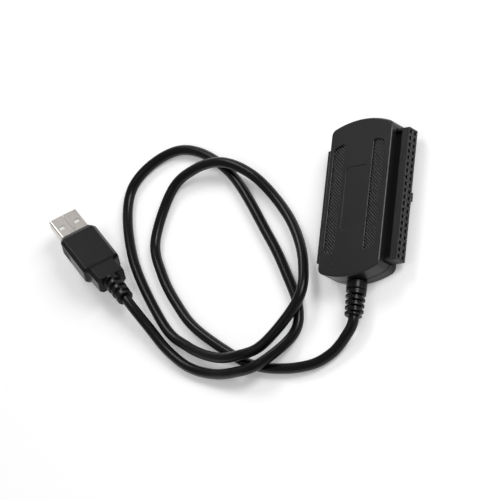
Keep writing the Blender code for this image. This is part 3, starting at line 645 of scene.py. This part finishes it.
def makeUpperShell():
    lipStep = housing["wall"] - housing["lipWall"] - housing["lipGap"]
    shoulder = seamTop + housing["lipHeight"] + housing["lipGap"]
    loops = list(reversed(roundedEdge(housingTop, 1, housing["edgeRadius"], 7)))
    loops += roundedEdge(seamTop, -1, housing["seamEdge"], 3)
    loops += [level(lipStep, seamTop), level(lipStep, shoulder), level(housing["wall"], shoulder),
              level(housing["wall"], housingTop - housing["skin"])]
    shell = meshObject("upperHousing", addLoft(bmesh.new(), loops))
    addPosts(shell, housingTop - housing["skin"] / 2, nodeBox("circuit_board")[1].z + housing["gap"])
    openHousing(shell)
    floor = housingTop - gripBands["depth"]
    for centre in gripBands["centres"]:
        band = pocketCutter(lambda inset: bandOutline(centre, inset), floor, housingTop, gripBands["rim"])
        combine(shell, band)
    recess = labelRecess
    combine(shell, pocketCutter(
        lambda inset: roundedRectangle(recess["width"] - 2 * inset, recess["length"] - 2 * inset,
                                       recess["corner"] - inset, recess["centre"]),
        housingTop - recess["depth"], housingTop, recess["rim"], recess["foot"]))
    pipeLow, pipeHigh = nodeBox("light_pipe")
    pipe = (pipeLow + pipeHigh) / 2
    radius = (pipeHigh.x - pipeLow.x) / 2 + lightPipeGap
    combine(shell, addPrism(bmesh.new(), arc(pipe.xy, radius, 0, 348, 29), housingTop - 3, housingTop + 1))
    return shell


def bandOutline(centre, inset=0.0):
    # Rounded strip whose ends follow the bowed ends of the housing
    strip = roundedRectangle(gripBands["width"] - 2 * inset, gripBands["length"] - 2 * inset,
                             gripBands["corner"] - inset, (centre[0], 0.0))
    return [(x, centre[1] + y - math.copysign(bowRadius - math.sqrt(bowRadius ** 2 - x ** 2), y))
            for x, y in strip]


def makeLowerShell():
    lipStep = housing["wall"] - housing["lipWall"]
    edge = lipTop - housing["lipHeight"]
    loops = list(reversed(roundedEdge(0.0, -1, housing["edgeRadius"], 7)))
    loops += roundedEdge(edge, 1, housing["seamEdge"], 3)
    loops += [level(lipStep, edge), level(lipStep, lipTop), level(housing["wall"], lipTop),
              level(housing["wall"], housing["skin"])]
    shell = meshObject("lowerHousing", addLoft(bmesh.new(), loops))
    addPosts(shell, housing["skin"] / 2, nodeBox("circuit_board")[0].z - housing["gap"])
    openHousing(shell)
    return shell


# Ribs and pins are repeated by Geometry Nodes, then turned into plain meshes

def newTree(name, inputs):
    tree = bpy.data.node_groups.new(name, "GeometryNodeTree")
    for label, kind, value in inputs:
        socket = tree.interface.new_socket(name=label, in_out="INPUT", socket_type=kind)
        if value is not None:
            socket.default_value = value
    tree.interface.new_socket(name="Geometry", in_out="OUTPUT", socket_type="NodeSocketGeometry")
    return tree, addNode(tree, "NodeGroupInput").outputs


def fromTree(name, tree, values):
    # Runs a tree on an empty mesh and keeps its result as the piece's own mesh
    piece = meshObject(name, bmesh.new())
    modifier = piece.modifiers.new("nodes", "NODES")
    modifier.node_group = tree
    for socket in tree.interface.items_tree:
        if socket.item_type == "SOCKET" and socket.in_out == "INPUT" and socket.name in values:
            modifier[socket.identifier] = values[socket.name]
    takeEvaluated(piece)
    return piece


def ribTree():
    # Round bars at 45 degrees, a pitch apart along Y
    tree, given = newTree("gripRibs", [
        ("Count", "NodeSocketInt", 30), ("Pitch", "NodeSocketFloat", 1.0), ("Radius", "NodeSocketFloat", 0.3),
        ("Reach", "NodeSocketFloat", 3.0), ("Centre", "NodeSocketVector", (0, 0, 0)),
        ("Material", "NodeSocketMaterial", None)])
    step = addNode(tree, "ShaderNodeCombineXYZ", None, {"Y": given["Pitch"]}).outputs[0]
    line = addNode(tree, "GeometryNodeMeshLine", {"mode": "OFFSET"},
                   {"Count": given["Count"], "Start Location": given["Centre"], "Offset": step})
    back = addNode(tree, "ShaderNodeMath", {"operation": "MULTIPLY", 1: -1.0}, {0: given["Reach"]}).outputs[0]
    start = addNode(tree, "ShaderNodeCombineXYZ", None, {"X": back, "Y": given["Reach"]}).outputs[0]
    end = addNode(tree, "ShaderNodeCombineXYZ", None, {"X": given["Reach"], "Y": back}).outputs[0]
    bar = addNode(tree, "GeometryNodeCurvePrimitiveLine", None, {"Start": start, "End": end})
    profile = addNode(tree, "GeometryNodeCurvePrimitiveCircle", {"Resolution": 16}, {"Radius": given["Radius"]})
    rod = addNode(tree, "GeometryNodeCurveToMesh", {"Fill Caps": True},
                  {"Curve": bar.outputs[0], "Profile Curve": profile.outputs[0]})
    spread = addNode(tree, "GeometryNodeInstanceOnPoints", None,
                     {"Points": line.outputs[0], "Instance": rod.outputs[0]})
    solid = addNode(tree, "GeometryNodeRealizeInstances", None, {"Geometry": spread.outputs[0]})
    painted = addNode(tree, "GeometryNodeSetMaterial", None,
                      {"Geometry": solid.outputs[0], "Material": given["Material"]})
    addNode(tree, "NodeGroupOutput", None, {"Geometry": painted.outputs[0]})
    return tree


def makeRibs(name, tree, centre):
    reach = gripBands["width"] / 2 + 1
    count = int((gripBands["length"] + gripBands["width"]) / gripBands["ribPitch"])
    start = centre[1] - (count - 1) / 2 * gripBands["ribPitch"]
    floor = housingTop - gripBands["depth"]
    ribs = fromTree(name, tree, {
        "Count": count, "Pitch": gripBands["ribPitch"], "Radius": gripBands["ribRadius"], "Reach": reach,
        "Centre": (centre[0], start, floor + gripBands["ribRise"]), "Material": absPlastic})
    clip = bandOutline(centre, gripBands["ribGap"])
    combine(ribs, addPrism(bmesh.new(), clip, floor - 0.1, housingTop), "INTERSECT")
    return ribs


def pinTree():
    # Two rows of bent contact strips, each with a solder tail and a leaf down in its hole
    tree, given = newTree("pinRows", [
        ("Strip", "NodeSocketObject", None), ("Count", "NodeSocketInt", 20), ("Pitch", "NodeSocketFloat", 2.54),
        ("First", "NodeSocketVector", (0, 0, 0)), ("Row Step", "NodeSocketFloat", 2.54),
        ("Closed", "NodeSocketInt", -1), ("Material", "NodeSocketMaterial", None)])
    step = addNode(tree, "ShaderNodeCombineXYZ", None, {"Y": given["Pitch"]}).outputs[0]
    lower = addNode(tree, "GeometryNodeMeshLine", {"mode": "OFFSET"},
                    {"Count": given["Count"], "Start Location": given["First"], "Offset": step})
    index = addNode(tree, "GeometryNodeInputIndex").outputs[0]
    isClosed = addNode(tree, "FunctionNodeCompare", {"data_type": "INT", "operation": "EQUAL"},
                       {2: index, 3: given["Closed"]})
    kept = addNode(tree, "GeometryNodeDeleteGeometry", None,
                   {"Geometry": lower.outputs[0], "Selection": isClosed.outputs[0]})
    rise = addNode(tree, "ShaderNodeCombineXYZ", None, {"Z": given["Row Step"]}).outputs[0]
    upper = addNode(tree, "GeometryNodeTransform", None, {"Geometry": lower.outputs[0], "Translation": rise})
    strip = addNode(tree, "GeometryNodeObjectInfo", None, {"Object": given["Strip"]})
    flipped = addNode(tree, "GeometryNodeTransform", {"Scale": (1.0, 1.0, -1.0)},
                      {"Geometry": strip.outputs["Geometry"]})
    turned = addNode(tree, "GeometryNodeFlipFaces", None, {"Mesh": flipped.outputs[0]})
    low = addNode(tree, "GeometryNodeInstanceOnPoints", None,
                  {"Points": kept.outputs[0], "Instance": strip.outputs["Geometry"]})
    high = addNode(tree, "GeometryNodeInstanceOnPoints", None,
                   {"Points": upper.outputs[0], "Instance": turned.outputs[0]})
    both = addNode(tree, "GeometryNodeJoinGeometry")
    tree.links.new(low.outputs[0], both.inputs[0])
    tree.links.new(high.outputs[0], both.inputs[0])
    solid = addNode(tree, "GeometryNodeRealizeInstances", None, {"Geometry": both.outputs[0]})
    painted = addNode(tree, "GeometryNodeSetMaterial", None,
                      {"Geometry": solid.outputs[0], "Material": given["Material"]})
    addNode(tree, "NodeGroupOutput", None, {"Geometry": painted.outputs[0]})
    return tree


# Drive sockets

wideSocket = {
    "node": "drive_socket_40", "side": 1, "columns": 20, "pitch": 2.54, "hole": 1.3, "thickness": 5.1,
    "leadIn": 0.2, "holeDepth": 2.3, "tail": 2.4, "edge": 0.18, "closed": -1,
    "keyWidth": 3.4, "keyStart": 0.6, "keySink": 0.8, "keyEdge": 0.2,
    "keyBack": 0.05,         # how far the key stays behind the socket's face
    "troughWidth": 2.5, "troughDepth": 1.5, "troughWall": 1.0,
    "troughCorner": 0.3, "troughRim": 0.12, "troughFoot": 0.08,
    "troughLap": 1.6,        # how far the trough runs in under the housing
}
slimSocket = {
    "node": "drive_socket_44", "side": -1, "columns": 22, "pitch": 2.0, "hole": 0.7, "thickness": 4.0,
    "leadIn": 0.25, "holeDepth": 5.5, "tail": 2.4, "edge": 0.18, "closed": 9,
}
contactSettings = {
    "leafBack": 0.1,         # how far the leaf starts behind the end of its hole
    "leafFront": 1.5,        # and how far it stops short of the socket's face
    "leafWidth": 1.1, "leafTop": 0.6, "leafUnder": 0.95,     # in halves of the hole's width
    "tailWidth": 0.5, "tailThickness": 0.25, "tailLap": 0.8, "padGap": 0.3,
}


def socketPlaces(settings):
    low, high = nodeBox(settings["node"])
    side = settings["side"]
    face = high.x if side > 0 else -low.x
    inner = (low.x if side > 0 else -high.x) + settings["tail"]
    middle = (low.y + high.y) / 2
    return side, face, inner, middle, low, high


def makeSocket(name, settings):
    side, face, inner, middle, low, high = socketPlaces(settings)
    half = settings["thickness"] / 2
    x = sorted((side * inner, side * face))
    socket = meshObject(name, softBlock((x[0], low.y, boardMiddle - half), (x[1], high.y, boardMiddle + half),
                                        settings["edge"]))
    if "troughDepth" in settings:
        top = boardMiddle + half
        width = settings["troughWidth"]
        lap = settings["troughLap"]
        length = high.y - low.y - 2 * settings["troughWall"]
        combine(socket, pocketCutter(
            lambda inset: roundedRectangle(width + lap - 2 * inset, length - 2 * inset,
                                           settings["troughCorner"] - inset,
                                           (halfWidth + (width - lap) / 2, middle)),
            top - settings["troughDepth"], top, settings["troughRim"], settings["troughFoot"]))
        halfKey = settings["keyWidth"] / 2
        key = softBlock((halfWidth + settings["keyStart"], middle - halfKey, low.z),
                        (face - settings["keyBack"], middle + halfKey, boardMiddle - half + settings["keySink"]),
                        settings["keyEdge"])
        combine(socket, key, "UNION")
    holes = bmesh.new()
    for column in range(settings["columns"]):
        y = middle + (column - (settings["columns"] - 1) / 2) * settings["pitch"]
        for row in (-1, 1):
            if row > 0 or column != settings["closed"]:
                addHole(holes, side, face, y, boardMiddle + row * settings["pitch"] / 2, settings)
    combine(socket, holes)
    return socket


def addHole(bm, side, face, y, z, settings):
    # Square blind hole with a flared mouth
    wide = settings["hole"] / 2 + settings["leadIn"]
    narrow = settings["hole"] / 2
    loops = []
    for depth, half in ((-0.2, wide), (0.0, wide), (settings["leadIn"], narrow), (settings["holeDepth"], narrow)):
        outline = roundedRectangle(2 * half, 2 * half, half * 0.25, (y, z), 2)
        loops.append([(side * (face - depth), a, b) for a, b in outline])
    addLoft(bm, loops)


def makeContacts(name, settings, tree, material):
    side, face, inner, middle = socketPlaces(settings)[:4]
    contact = contactSettings
    gap = settings["hole"] / 2
    strip = bmesh.new()
    leafStart = face - settings["holeDepth"] - contact["leafBack"]
    leaf = sorted((side * leafStart, side * (face - contact["leafFront"])))
    wide = gap * contact["leafWidth"] / 2
    addBlock(strip, (leaf[0], -wide, -gap * contact["leafUnder"]), (leaf[1], wide, -gap * contact["leafTop"]))
    # The tail lies over the board's pads; heights here are from the hole's own axis
    reach = settings["pitch"] / 2 - (nodeBox("circuit_board")[1].z - boardMiddle + contact["padGap"])
    tail = sorted((side * (inner - settings["tail"]), side * (inner + contact["tailLap"])))
    wide = contact["tailWidth"] / 2
    addBlock(strip, (tail[0], -wide, reach - contact["tailThickness"]), (tail[1], wide, reach))
    element = meshObject("contactStrip", strip)
    first = (0.0, middle - (settings["columns"] - 1) / 2 * settings["pitch"], boardMiddle - settings["pitch"] / 2)
    contacts = fromTree(name, tree, {
        "Strip": element, "Count": settings["columns"], "Pitch": settings["pitch"], "First": first,
        "Row Step": settings["pitch"], "Closed": settings["closed"], "Material": material})
    bpy.data.objects.remove(element)
    return contacts


# Serial drive header: an open box with an L-shaped tongue

headerSettings = {
    "cavityWidth": 12.8, "cavityHeight": 4.4, "cavityDepth": 6.4, "tongueWidth": 10.4, "tongueThickness": 1.2,
    "tongueSetBack": 0.6, "tongueEdge": 0.1, "hookWidth": 1.2, "hookDrop": 1.2, "bladeGap": 0.12, "edge": 0.15,
    "flare": 0.3, "flareDepth": 0.35, "cavityCorner": 0.3,
}


def makeHeader(settings):
    low, high = nodeBox("serial_header")
    header = meshObject("serialHeader", softBlock(low, high, settings["edge"]))
    floor = high.y - settings["cavityDepth"]
    halfX = settings["cavityWidth"] / 2
    halfZ = settings["cavityHeight"] / 2
    corners = [(halfX, -halfZ), (halfX, halfZ), (-halfX, halfZ), (-halfX, -halfZ)]
    outline = filleted(corners, settings["cavityCorner"])
    flare = settings["flare"]
    loops = []
    for y, grow in ((floor, 0.0), (high.y - settings["flareDepth"], 0.0), (high.y, flare), (high.y + 0.5, flare)):
        loops.append([(x * (1 + grow / halfX), y, boardMiddle + z * (1 + grow / halfZ)) for x, z in outline])
    combine(header, addLoft(bmesh.new(), loops))
    top = nodeBox("serial_contact_1")[1].z
    under = top - settings["tongueThickness"]
    tip = high.y - settings["tongueSetBack"]
    half = settings["tongueWidth"] / 2
    edge = settings["tongueEdge"]
    combine(header, softBlock((-half, floor - 0.5, under), (half, tip, top), edge), "UNION")
    combine(header, softBlock((-half, floor - 0.5, under - settings["hookDrop"]),
                              (-half + settings["hookWidth"], tip, top - 0.5), edge), "UNION")
    slots = bmesh.new()
    gap = settings["bladeGap"]
    for i in range(7):
        bladeLow, bladeHigh = nodeBox("serial_contact_%d" % (i + 1))
        addBlock(slots, (bladeLow.x - gap, low.y - 1, bladeLow.z - gap),
                 (bladeHigh.x + gap, bladeHigh.y + gap, bladeHigh.z + gap))
    combine(header, slots)
    return header


# Strain reliefs: turned sleeves with half-ring slots that alternate from side to side

reliefSettings = {
    "neck": 2.4, "flangeWidth": 9.0, "flangeThickness": 1.1, "flangeInset": 1.15,
    "collar": 3.85, "collarLength": 3.2, "collarFoot": 0.25, "collarEdge": 0.5,
    "grooveDepth": 0.45, "grooveLength": 0.3,        # narrow groove between the collar and the sleeve
    "sleeveStart": 3.8, "sleeveEnd": 3.45, "edge": 0.6, "slotWidth": 1.1, "slotPitch": 2.2, "slots": 4,
    "slotFloor": 2.4, "slotRim": 0.22, "slotHalfAngle": 80.0, "firstSlot": 1.2,
}
plugRelief = {
    "sleeveStart": 3.7, "sleeveEnd": 3.25, "edge": 0.5, "slotWidth": 1.5, "slotPitch": 3.4, "slots": 3,
    "slotFloor": 2.4, "slotRim": 0.25, "slotHalfAngle": 80.0, "firstSlot": 1.5,
}


def smoothStep(low, high, value):
    share = min(max((value - low) / (high - low), 0.0), 1.0)
    return share * share * (3 - 2 * share)


def slottedRadius(settings, outer, along, angle):
    # along is the distance past the sleeve's start, and angle is measured from the side that the slots face
    deepest = 0.0
    for facing in (1, -1):
        turned = abs(math.degrees(math.atan2(math.sin(angle), facing * math.cos(angle))))
        around = 1 - smoothStep(settings["slotHalfAngle"] - 7, settings["slotHalfAngle"] + 7, turned)
        for i in range(settings["slots"]):
            middle = settings["firstSlot"] + (i + (0.5 if facing > 0 else 0.0)) * settings["slotPitch"]
            off = abs(along - middle)
            half = settings["slotWidth"] / 2
            across = 1 - smoothStep(half - settings["slotRim"], half + settings["slotRim"], off)
            deepest = max(deepest, around * across)
    return outer - deepest * (outer - settings["slotFloor"])


def slottedSleeve(settings, length, start=0.0, sides=96):
    # Rings of points about +X, from the sleeve's start to its free end
    rows = int(length / 0.09)
    edge = settings["edge"]
    rings = []
    for i in range(rows + 1):
        along = length * i / rows
        outer = settings["sleeveStart"] + (settings["sleeveEnd"] - settings["sleeveStart"]) * along / length
        fromEnd = length - along
        if fromEnd < edge:
            outer -= edge - math.sqrt(max(edge ** 2 - (edge - fromEnd) ** 2, 0))
        ring = []
        for side in range(sides):
            angle = 2 * math.pi * side / sides
            radius = slottedRadius(settings, outer, along, angle)
            ring.append((start + along, radius * math.cos(angle), radius * math.sin(angle)))
        rings.append(ring)
    return rings


def circleRing(x, radius, sides=96):
    return [(x, radius * math.cos(2 * math.pi * i / sides), radius * math.sin(2 * math.pi * i / sides))
            for i in range(sides)]


def makeHeadRelief(settings):
    # Made along +X from the wall's outside, then turned to point along -Y
    low, high = nodeBox("strain_relief")
    wallOutside = halfLength + housing["gap"]
    length = -low.y - wallOutside
    inside = wallOutside + high.y
    collar = settings["collar"]
    collarEnd = settings["collarLength"]
    foot = settings["collarFoot"]
    edge = settings["collarEdge"]
    turns = [math.radians(15 * i) for i in range(7)]
    loops = [circleRing(-inside, settings["neck"]), circleRing(0.0, settings["neck"])]
    loops += [circleRing(foot * (1 - math.cos(turn)), collar - foot * (1 - math.sin(turn))) for turn in turns]
    loops += [circleRing(collarEnd - edge * (1 - math.sin(turn)), collar - edge * (1 - math.cos(turn)))
              for turn in turns]
    loops.append(circleRing(collarEnd + 0.02, settings["sleeveStart"] - settings["grooveDepth"]))
    loops.append(circleRing(collarEnd + 0.2, settings["sleeveStart"] - 0.3))
    sleeveBase = collarEnd + settings["grooveLength"]
    loops += slottedSleeve(settings, length - sleeveBase, sleeveBase)
    relief = meshObject("headStrainRelief", addLoft(bmesh.new(), loops))
    halfFlange = settings["flangeWidth"] / 2
    halfHeight = (high.z - low.z) / 2 - settings["flangeInset"]
    combine(relief, addBlock(bmesh.new(), (-inside, -halfFlange, -halfHeight),
                             (-inside + settings["flangeThickness"], halfFlange, halfHeight)), "UNION")
    place = Matrix.Translation((0, -wallOutside, (high.z + low.z) / 2))
    relief.data.transform(place @ Matrix.Rotation(math.radians(-90), 4, "Z"))
    return relief


# Plug: a folded steel shell in a moulded grip

plugGrip = {
    "start": 12.0, "shoulder": 34.5, "tailEnd": 43.0, "width": 15.6, "thickness": 8.0, "chamfer": 1.3,
    "round": 0.35, "ramp": 2.4, "tailWidth": 12.2, "tailEndWidth": 11.6, "tailThickness": 7.4,
    "grooves": 5, "groovePitch": 1.25, "grooveStart": 16.2, "grooveRadius": 0.46, "grooveHeight": 4.4,
    "grooveOut": 0.08,       # how far a groove's axis lies outside the grip's side
    "shellGap": 0.3,
}
plugShell = {
    "width": 12.0, "height": 4.5, "sheet": 0.3, "corner": 0.7, "length": 18.7, "exposed": 12.0,
    "holeX": 6.4, "holeY": 3.3, "holeLength": 2.2, "holeWidth": 2.3,
    "holeCorner": 0.15, "seam": 0.2, "seamDepth": 0.4,
    "dovetailX": 9.6, "dovetail": 0.9,
}
plugTongue = {
    "width": 10.8, "thickness": 1.85, "gap": 0.3, "front": 0.8, "edge": 0.22, "contactGap": 0.12,
    "blockAhead": 1.5, "blockEdge": 0.15,    # block that fills the shell behind the open mouth
}


def gripSection(x, width, thickness, chamfer, radius):
    halfW = width / 2
    halfT = thickness / 2
    corners = [(halfW, halfT - chamfer), (halfW - chamfer, halfT), (-halfW + chamfer, halfT),
               (-halfW, halfT - chamfer), (-halfW, -halfT + chamfer), (-halfW + chamfer, -halfT),
               (halfW - chamfer, -halfT), (halfW, -halfT + chamfer)]
    return [(x, y, z) for y, z in filleted(corners, radius)]


def makeGrip(settings):
    width = settings["width"]
    thick = settings["thickness"]
    start = settings["start"]
    shoulder = settings["shoulder"]
    tailWidth = settings["tailWidth"]
    tailThick = settings["tailThickness"]
    tailEnd = settings["tailEnd"]
    endWidth = settings["tailEndWidth"]
    # Along the grip: distance, width and thickness of each section
    sections = [
        (start, width - 2.6, thick - 2.6),
        (start + 0.06, width - 2.1, thick - 2.1),
        (start + 0.25, width - 1.75, thick - 1.75),
        (start + 0.5, width - 1.55, thick - 1.55),
        (start + settings["ramp"] - 0.4, width - 0.3, thick - 0.35),
        (start + settings["ramp"], width - 0.1, thick - 0.1),
        (start + settings["ramp"] + 0.6, width, thick),
        (shoulder - 0.8, width, thick),
        (shoulder - 0.35, width - 0.1, thick - 0.04),
        (shoulder - 0.05, width - 0.5, thick - 0.15),
        (shoulder + 0.4, tailWidth + 0.8, tailThick + 0.15),
        (shoulder + 0.8, tailWidth + 0.2, tailThick + 0.02),
        (shoulder + 1.2, tailWidth, tailThick),
        (tailEnd - 0.4, endWidth, tailThick - 0.1),
        (tailEnd - 0.12, endWidth - 0.15, tailThick - 0.25),
        (tailEnd, endWidth - 0.6, tailThick - 0.7),
    ]
    loops = [gripSection(*section, settings["chamfer"], settings["round"]) for section in sections]
    grip = meshObject("plugGripMoulding", addLoft(bmesh.new(), loops))
    sleeve = [circleRing(tailEnd - 1, plugRelief["sleeveStart"] - 0.5)]
    sleeve += slottedSleeve(plugRelief, plugPlace["length"] - tailEnd, tailEnd)
    combine(grip, addLoft(bmesh.new(), sleeve), "UNION")
    gap = settings["shellGap"]
    pocket = roundedRectangle(plugShell["width"] + 2 * gap, plugShell["height"] + 2 * gap,
                              plugShell["corner"] + gap)
    combine(grip, addLoft(bmesh.new(), [[(x, y, z) for y, z in pocket]
                                        for x in (start - 1, plugShell["length"] + gap)]))
    grooves = bmesh.new()
    for side in (-1, 1):
        for i in range(settings["grooves"]):
            x = settings["grooveStart"] + i * settings["groovePitch"]
            ring = arc((x, side * (width / 2 + settings["grooveOut"])), settings["grooveRadius"], 0, 337.5, 15)
            half = settings["grooveHeight"] / 2
            addPrism(grooves, ring, -half, half)
    combine(grip, grooves)
    return grip


def makePlugShell(settings):
    sheet = settings["sheet"]

    def section(x, inset):
        outline = roundedRectangle(settings["width"] - 2 * inset, settings["height"] - 2 * inset,
                                   settings["corner"] - inset)
        return [(x, y, z) for y, z in outline]

    shell = meshObject("plugShellFold", addLoft(bmesh.new(), [
        section(0.0, 0.12), section(0.05, 0.05), section(0.16, 0.0), section(settings["length"], 0.0)]))
    combine(shell, addLoft(bmesh.new(), [section(-0.5, sheet - 0.12), section(0.0, sheet - 0.12),
                                         section(0.12, sheet), section(settings["length"] + 0.5, sheet)]))
    holes = bmesh.new()
    for y in (-settings["holeY"], settings["holeY"]):
        outline = roundedRectangle(settings["holeLength"], settings["holeWidth"], settings["holeCorner"],
                                   (settings["holeX"], y), 4)
        for side in (-1, 1):
            middle = side * settings["height"] / 2
            addPrism(holes, outline, middle - 0.6, middle + 0.6)
    combine(shell, holes)
    combine(shell, seamCutter(settings))
    return shell


def seamCutter(settings):
    # Thin line where the folded sheet's edges meet, with one dovetail that locks them
    bend = settings["dovetail"]
    middle = settings["dovetailX"]
    line = [(-0.5, 0.0), (middle - bend * 0.4, 0.0), (middle - bend * 0.7, bend), (middle + bend * 0.7, bend),
            (middle + bend * 0.4, 0.0), (settings["exposed"] + 1.0, 0.0)]
    top = settings["height"] / 2
    half = settings["seam"] / 2
    left = []
    right = []
    for i, point in enumerate(line):
        point = Vector(point)
        ahead = (Vector(line[min(i + 1, len(line) - 1)]) - point)
        behind = (point - Vector(line[max(i - 1, 0)]))
        tangent = (ahead.normalized() + behind.normalized()).normalized()
        normal = Vector((-tangent.y, tangent.x))
        left.append(point + normal * half)
        right.append(point - normal * half)
    return addPrism(bmesh.new(), left + list(reversed(right)), top - settings["seamDepth"], top + 0.3)


def makeTongue(settings):
    # Runs along the shell's upper side, with its contacts on the face below
    halfW = settings["width"] / 2
    top = plugShell["height"] / 2 - plugShell["sheet"] - settings["gap"]
    under = top - settings["thickness"]
    rear = plugShell["length"]
    tongue = meshObject("plugTongueMoulding", softBlock((settings["front"], -halfW, under), (rear, halfW, top),
                                                        settings["edge"]))
    blockStart = plugShell["exposed"] - settings["blockAhead"]
    combine(tongue, softBlock((blockStart, -halfW, -top), (rear, halfW, top), settings["blockEdge"]), "UNION")
    grooves = bmesh.new()
    gap = settings["contactGap"]
    back = plugTurn.inverted()
    for i in range(4):
        blade = frame["nodes"]["plug_contact_%d" % (i + 1)].data
        corners = [back @ (vertex.co / mm) for vertex in blade.vertices]
        lowest = Vector(min(corner[axis] for corner in corners) for axis in range(3))
        highest = Vector(max(corner[axis] for corner in corners) for axis in range(3))
        addBlock(grooves, lowest - Vector((gap, gap, 0.3)), highest + Vector((1, gap, gap)))
    combine(tongue, grooves)
    return tongue


finish(makeUpperShell(), absPlastic, ["upper_shell"])
finish(makeLowerShell(), absPlastic, ["lower_shell"])
ribs = ribTree()
for label, centre in zip(("leftGripRibs", "rightGripRibs"), gripBands["centres"]):
    finish(makeRibs(label, ribs, centre), absPlastic, [])
print("housing made")

pins = pinTree()
finish(makeSocket("wideDriveSocket", wideSocket), polyester, ["drive_socket_40"])
finish(makeSocket("slimDriveSocket", slimSocket), polyester, ["drive_socket_44"])
finish(makeContacts("wideSocketContacts", wideSocket, pins, goldFlash), goldFlash, [])
finish(makeContacts("slimSocketContacts", slimSocket, pins, goldFlash), goldFlash, [])
finish(makeHeader(headerSettings), polyester, ["serial_header"])
print("sockets made")

# The head's strain relief takes the moulded vinyl copy that carries painted shade
reliefPiece = finish(makeHeadRelief(reliefSettings), vinylSleevePaintedShade, ["strain_relief"])
gripPiece = finish(makeGrip(plugGrip), vinylMoulding, ["plug_grip"], turn=plugTurn)
shellPiece = finish(makePlugShell(plugShell), nickelSteel, ["plug_shell"], turn=plugTurn)
tonguePiece = finish(makeTongue(plugTongue), whiteNylon, ["plug_tongue"], turn=plugTurn)
print("plug made")


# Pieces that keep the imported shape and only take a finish

keptFinishes = {
    "circuit_board": boardGreen, "bridge_chip": chipEpoxy, "memory_chip": chipEpoxy,
    "voltage_regulator": chipEpoxy, "crystal": tinPlate, "indicator_lamp": clearAcrylic,
    "light_pipe": smokedAcrylic,
}
for i in range(4):
    keptFinishes["capacitor_%d" % (i + 1)] = firedCeramic
    keptFinishes["plug_contact_%d" % (i + 1)] = goldFlash
for i in range(7):
    keptFinishes["serial_contact_%d" % (i + 1)] = goldFlash
for node, (low, high) in wireColours.items():
    keptFinishes[node] = mottled(node + "_vinyl", low, high, 1.0, 0.35)
for node, material in keptFinishes.items():
    mesh = frame["nodes"][node].data
    mesh.materials.clear()
    mesh.materials.append(material)


# Floor, world and lights

stageSettings = {
    "floorColour": "#f0f0f0", "floorLift": 0.24, "floorReach": 6.0,
    "worldColour": "#ffffff", "worldStrength": 0.32,
    "whiteBelow": 0.08, "dimAbove": 0.18,    # height of the white band at the horizon, as a sine
    "lamps": [
        {"name": "sideSoftbox", "direction": (0.76, 0.28, 0.585), "distance": 1.5, "size": 0.55, "power": 14.0},
        {"name": "backSoftbox", "direction": (-0.29, 0.67, 0.68), "distance": 1.5, "size": 0.5, "power": 6.6},
        {"name": "topSoftbox", "direction": (-0.16, -0.2, 0.96), "distance": 1.5, "size": 0.4, "power": 1.2},
    ],
}


def seenDirectly(tree):
    # 1 where the camera, a reflection or clear plastic looks straight at the surface
    rays = addNode(tree, "ShaderNodeLightPath").outputs
    first = addNode(tree, "ShaderNodeMath", {"operation": "MAXIMUM"},
                    {0: rays["Is Camera Ray"], 1: rays["Is Glossy Ray"]})
    both = addNode(tree, "ShaderNodeMath", {"operation": "MAXIMUM"},
                   {0: first.outputs[0], 1: rays["Is Transmission Ray"]})
    return both.outputs[0]


def makeStage(settings):
    bm = bmesh.new()
    reach = settings["floorReach"]
    bm.faces.new([bm.verts.new((x * reach, y * reach, 0.0)) for x, y in ((-1, -1), (1, -1), (1, 1), (-1, 1))])
    floor = meshObject("paperFloor", bm)
    material = bpy.data.materials.new("whitePaper")
    material.use_nodes = True
    tree = material.node_tree
    tree.nodes.clear()
    paper = addNode(tree, "ShaderNodeBsdfDiffuse", {"Color": hexColour(settings["floorColour"])})
    glow = addNode(tree, "ShaderNodeMath", {"operation": "MULTIPLY", 1: settings["floorLift"]},
                   {0: seenDirectly(tree)})
    lift = addNode(tree, "ShaderNodeEmission", None, {"Strength": glow.outputs[0]})
    both = addNode(tree, "ShaderNodeAddShader", None, {0: paper.outputs[0], 1: lift.outputs[0]})
    addNode(tree, "ShaderNodeOutputMaterial", None, {"Surface": both.outputs[0]})
    floor.data.materials.append(material)
    floor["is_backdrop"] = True

    world = bpy.data.worlds.new("studio")
    bpy.context.scene.world = world
    world.use_nodes = True
    tree = world.node_tree
    tree.nodes.clear()
    # White in a low band at the horizon, and dimmer above it, the same for every ray
    place = addNode(tree, "ShaderNodeTexCoord").outputs["Generated"]
    height = addNode(tree, "ShaderNodeSeparateXYZ", None, {0: place}).outputs["Z"]
    strength = addNode(tree, "ShaderNodeMapRange", {
        "From Min": settings["whiteBelow"], "From Max": settings["dimAbove"],
        "To Min": 1.0, "To Max": settings["worldStrength"]}, {"Value": height})
    sky = addNode(tree, "ShaderNodeBackground", {"Color": hexColour(settings["worldColour"])},
                  {"Strength": strength.outputs["Result"]})
    addNode(tree, "ShaderNodeOutputWorld", None, {"Surface": sky.outputs[0]})

    target = Vector(cameraSettings["target"]) * mm
    for lamp in settings["lamps"]:
        data = bpy.data.lights.new(lamp["name"], "AREA")
        data.shape = "SQUARE"
        data.size = lamp["size"]
        data.energy = lamp["power"]
        softbox = bpy.data.objects.new(lamp["name"], data)
        bpy.context.scene.collection.objects.link(softbox)
        direction = Vector(lamp["direction"]).normalized()
        softbox.location = target + direction * lamp["distance"]
        softbox.rotation_euler = direction.to_track_quat("Z", "Y").to_euler()


makeStage(stageSettings)
bpy.context.scene.view_settings.view_transform = "Standard"

low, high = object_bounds()
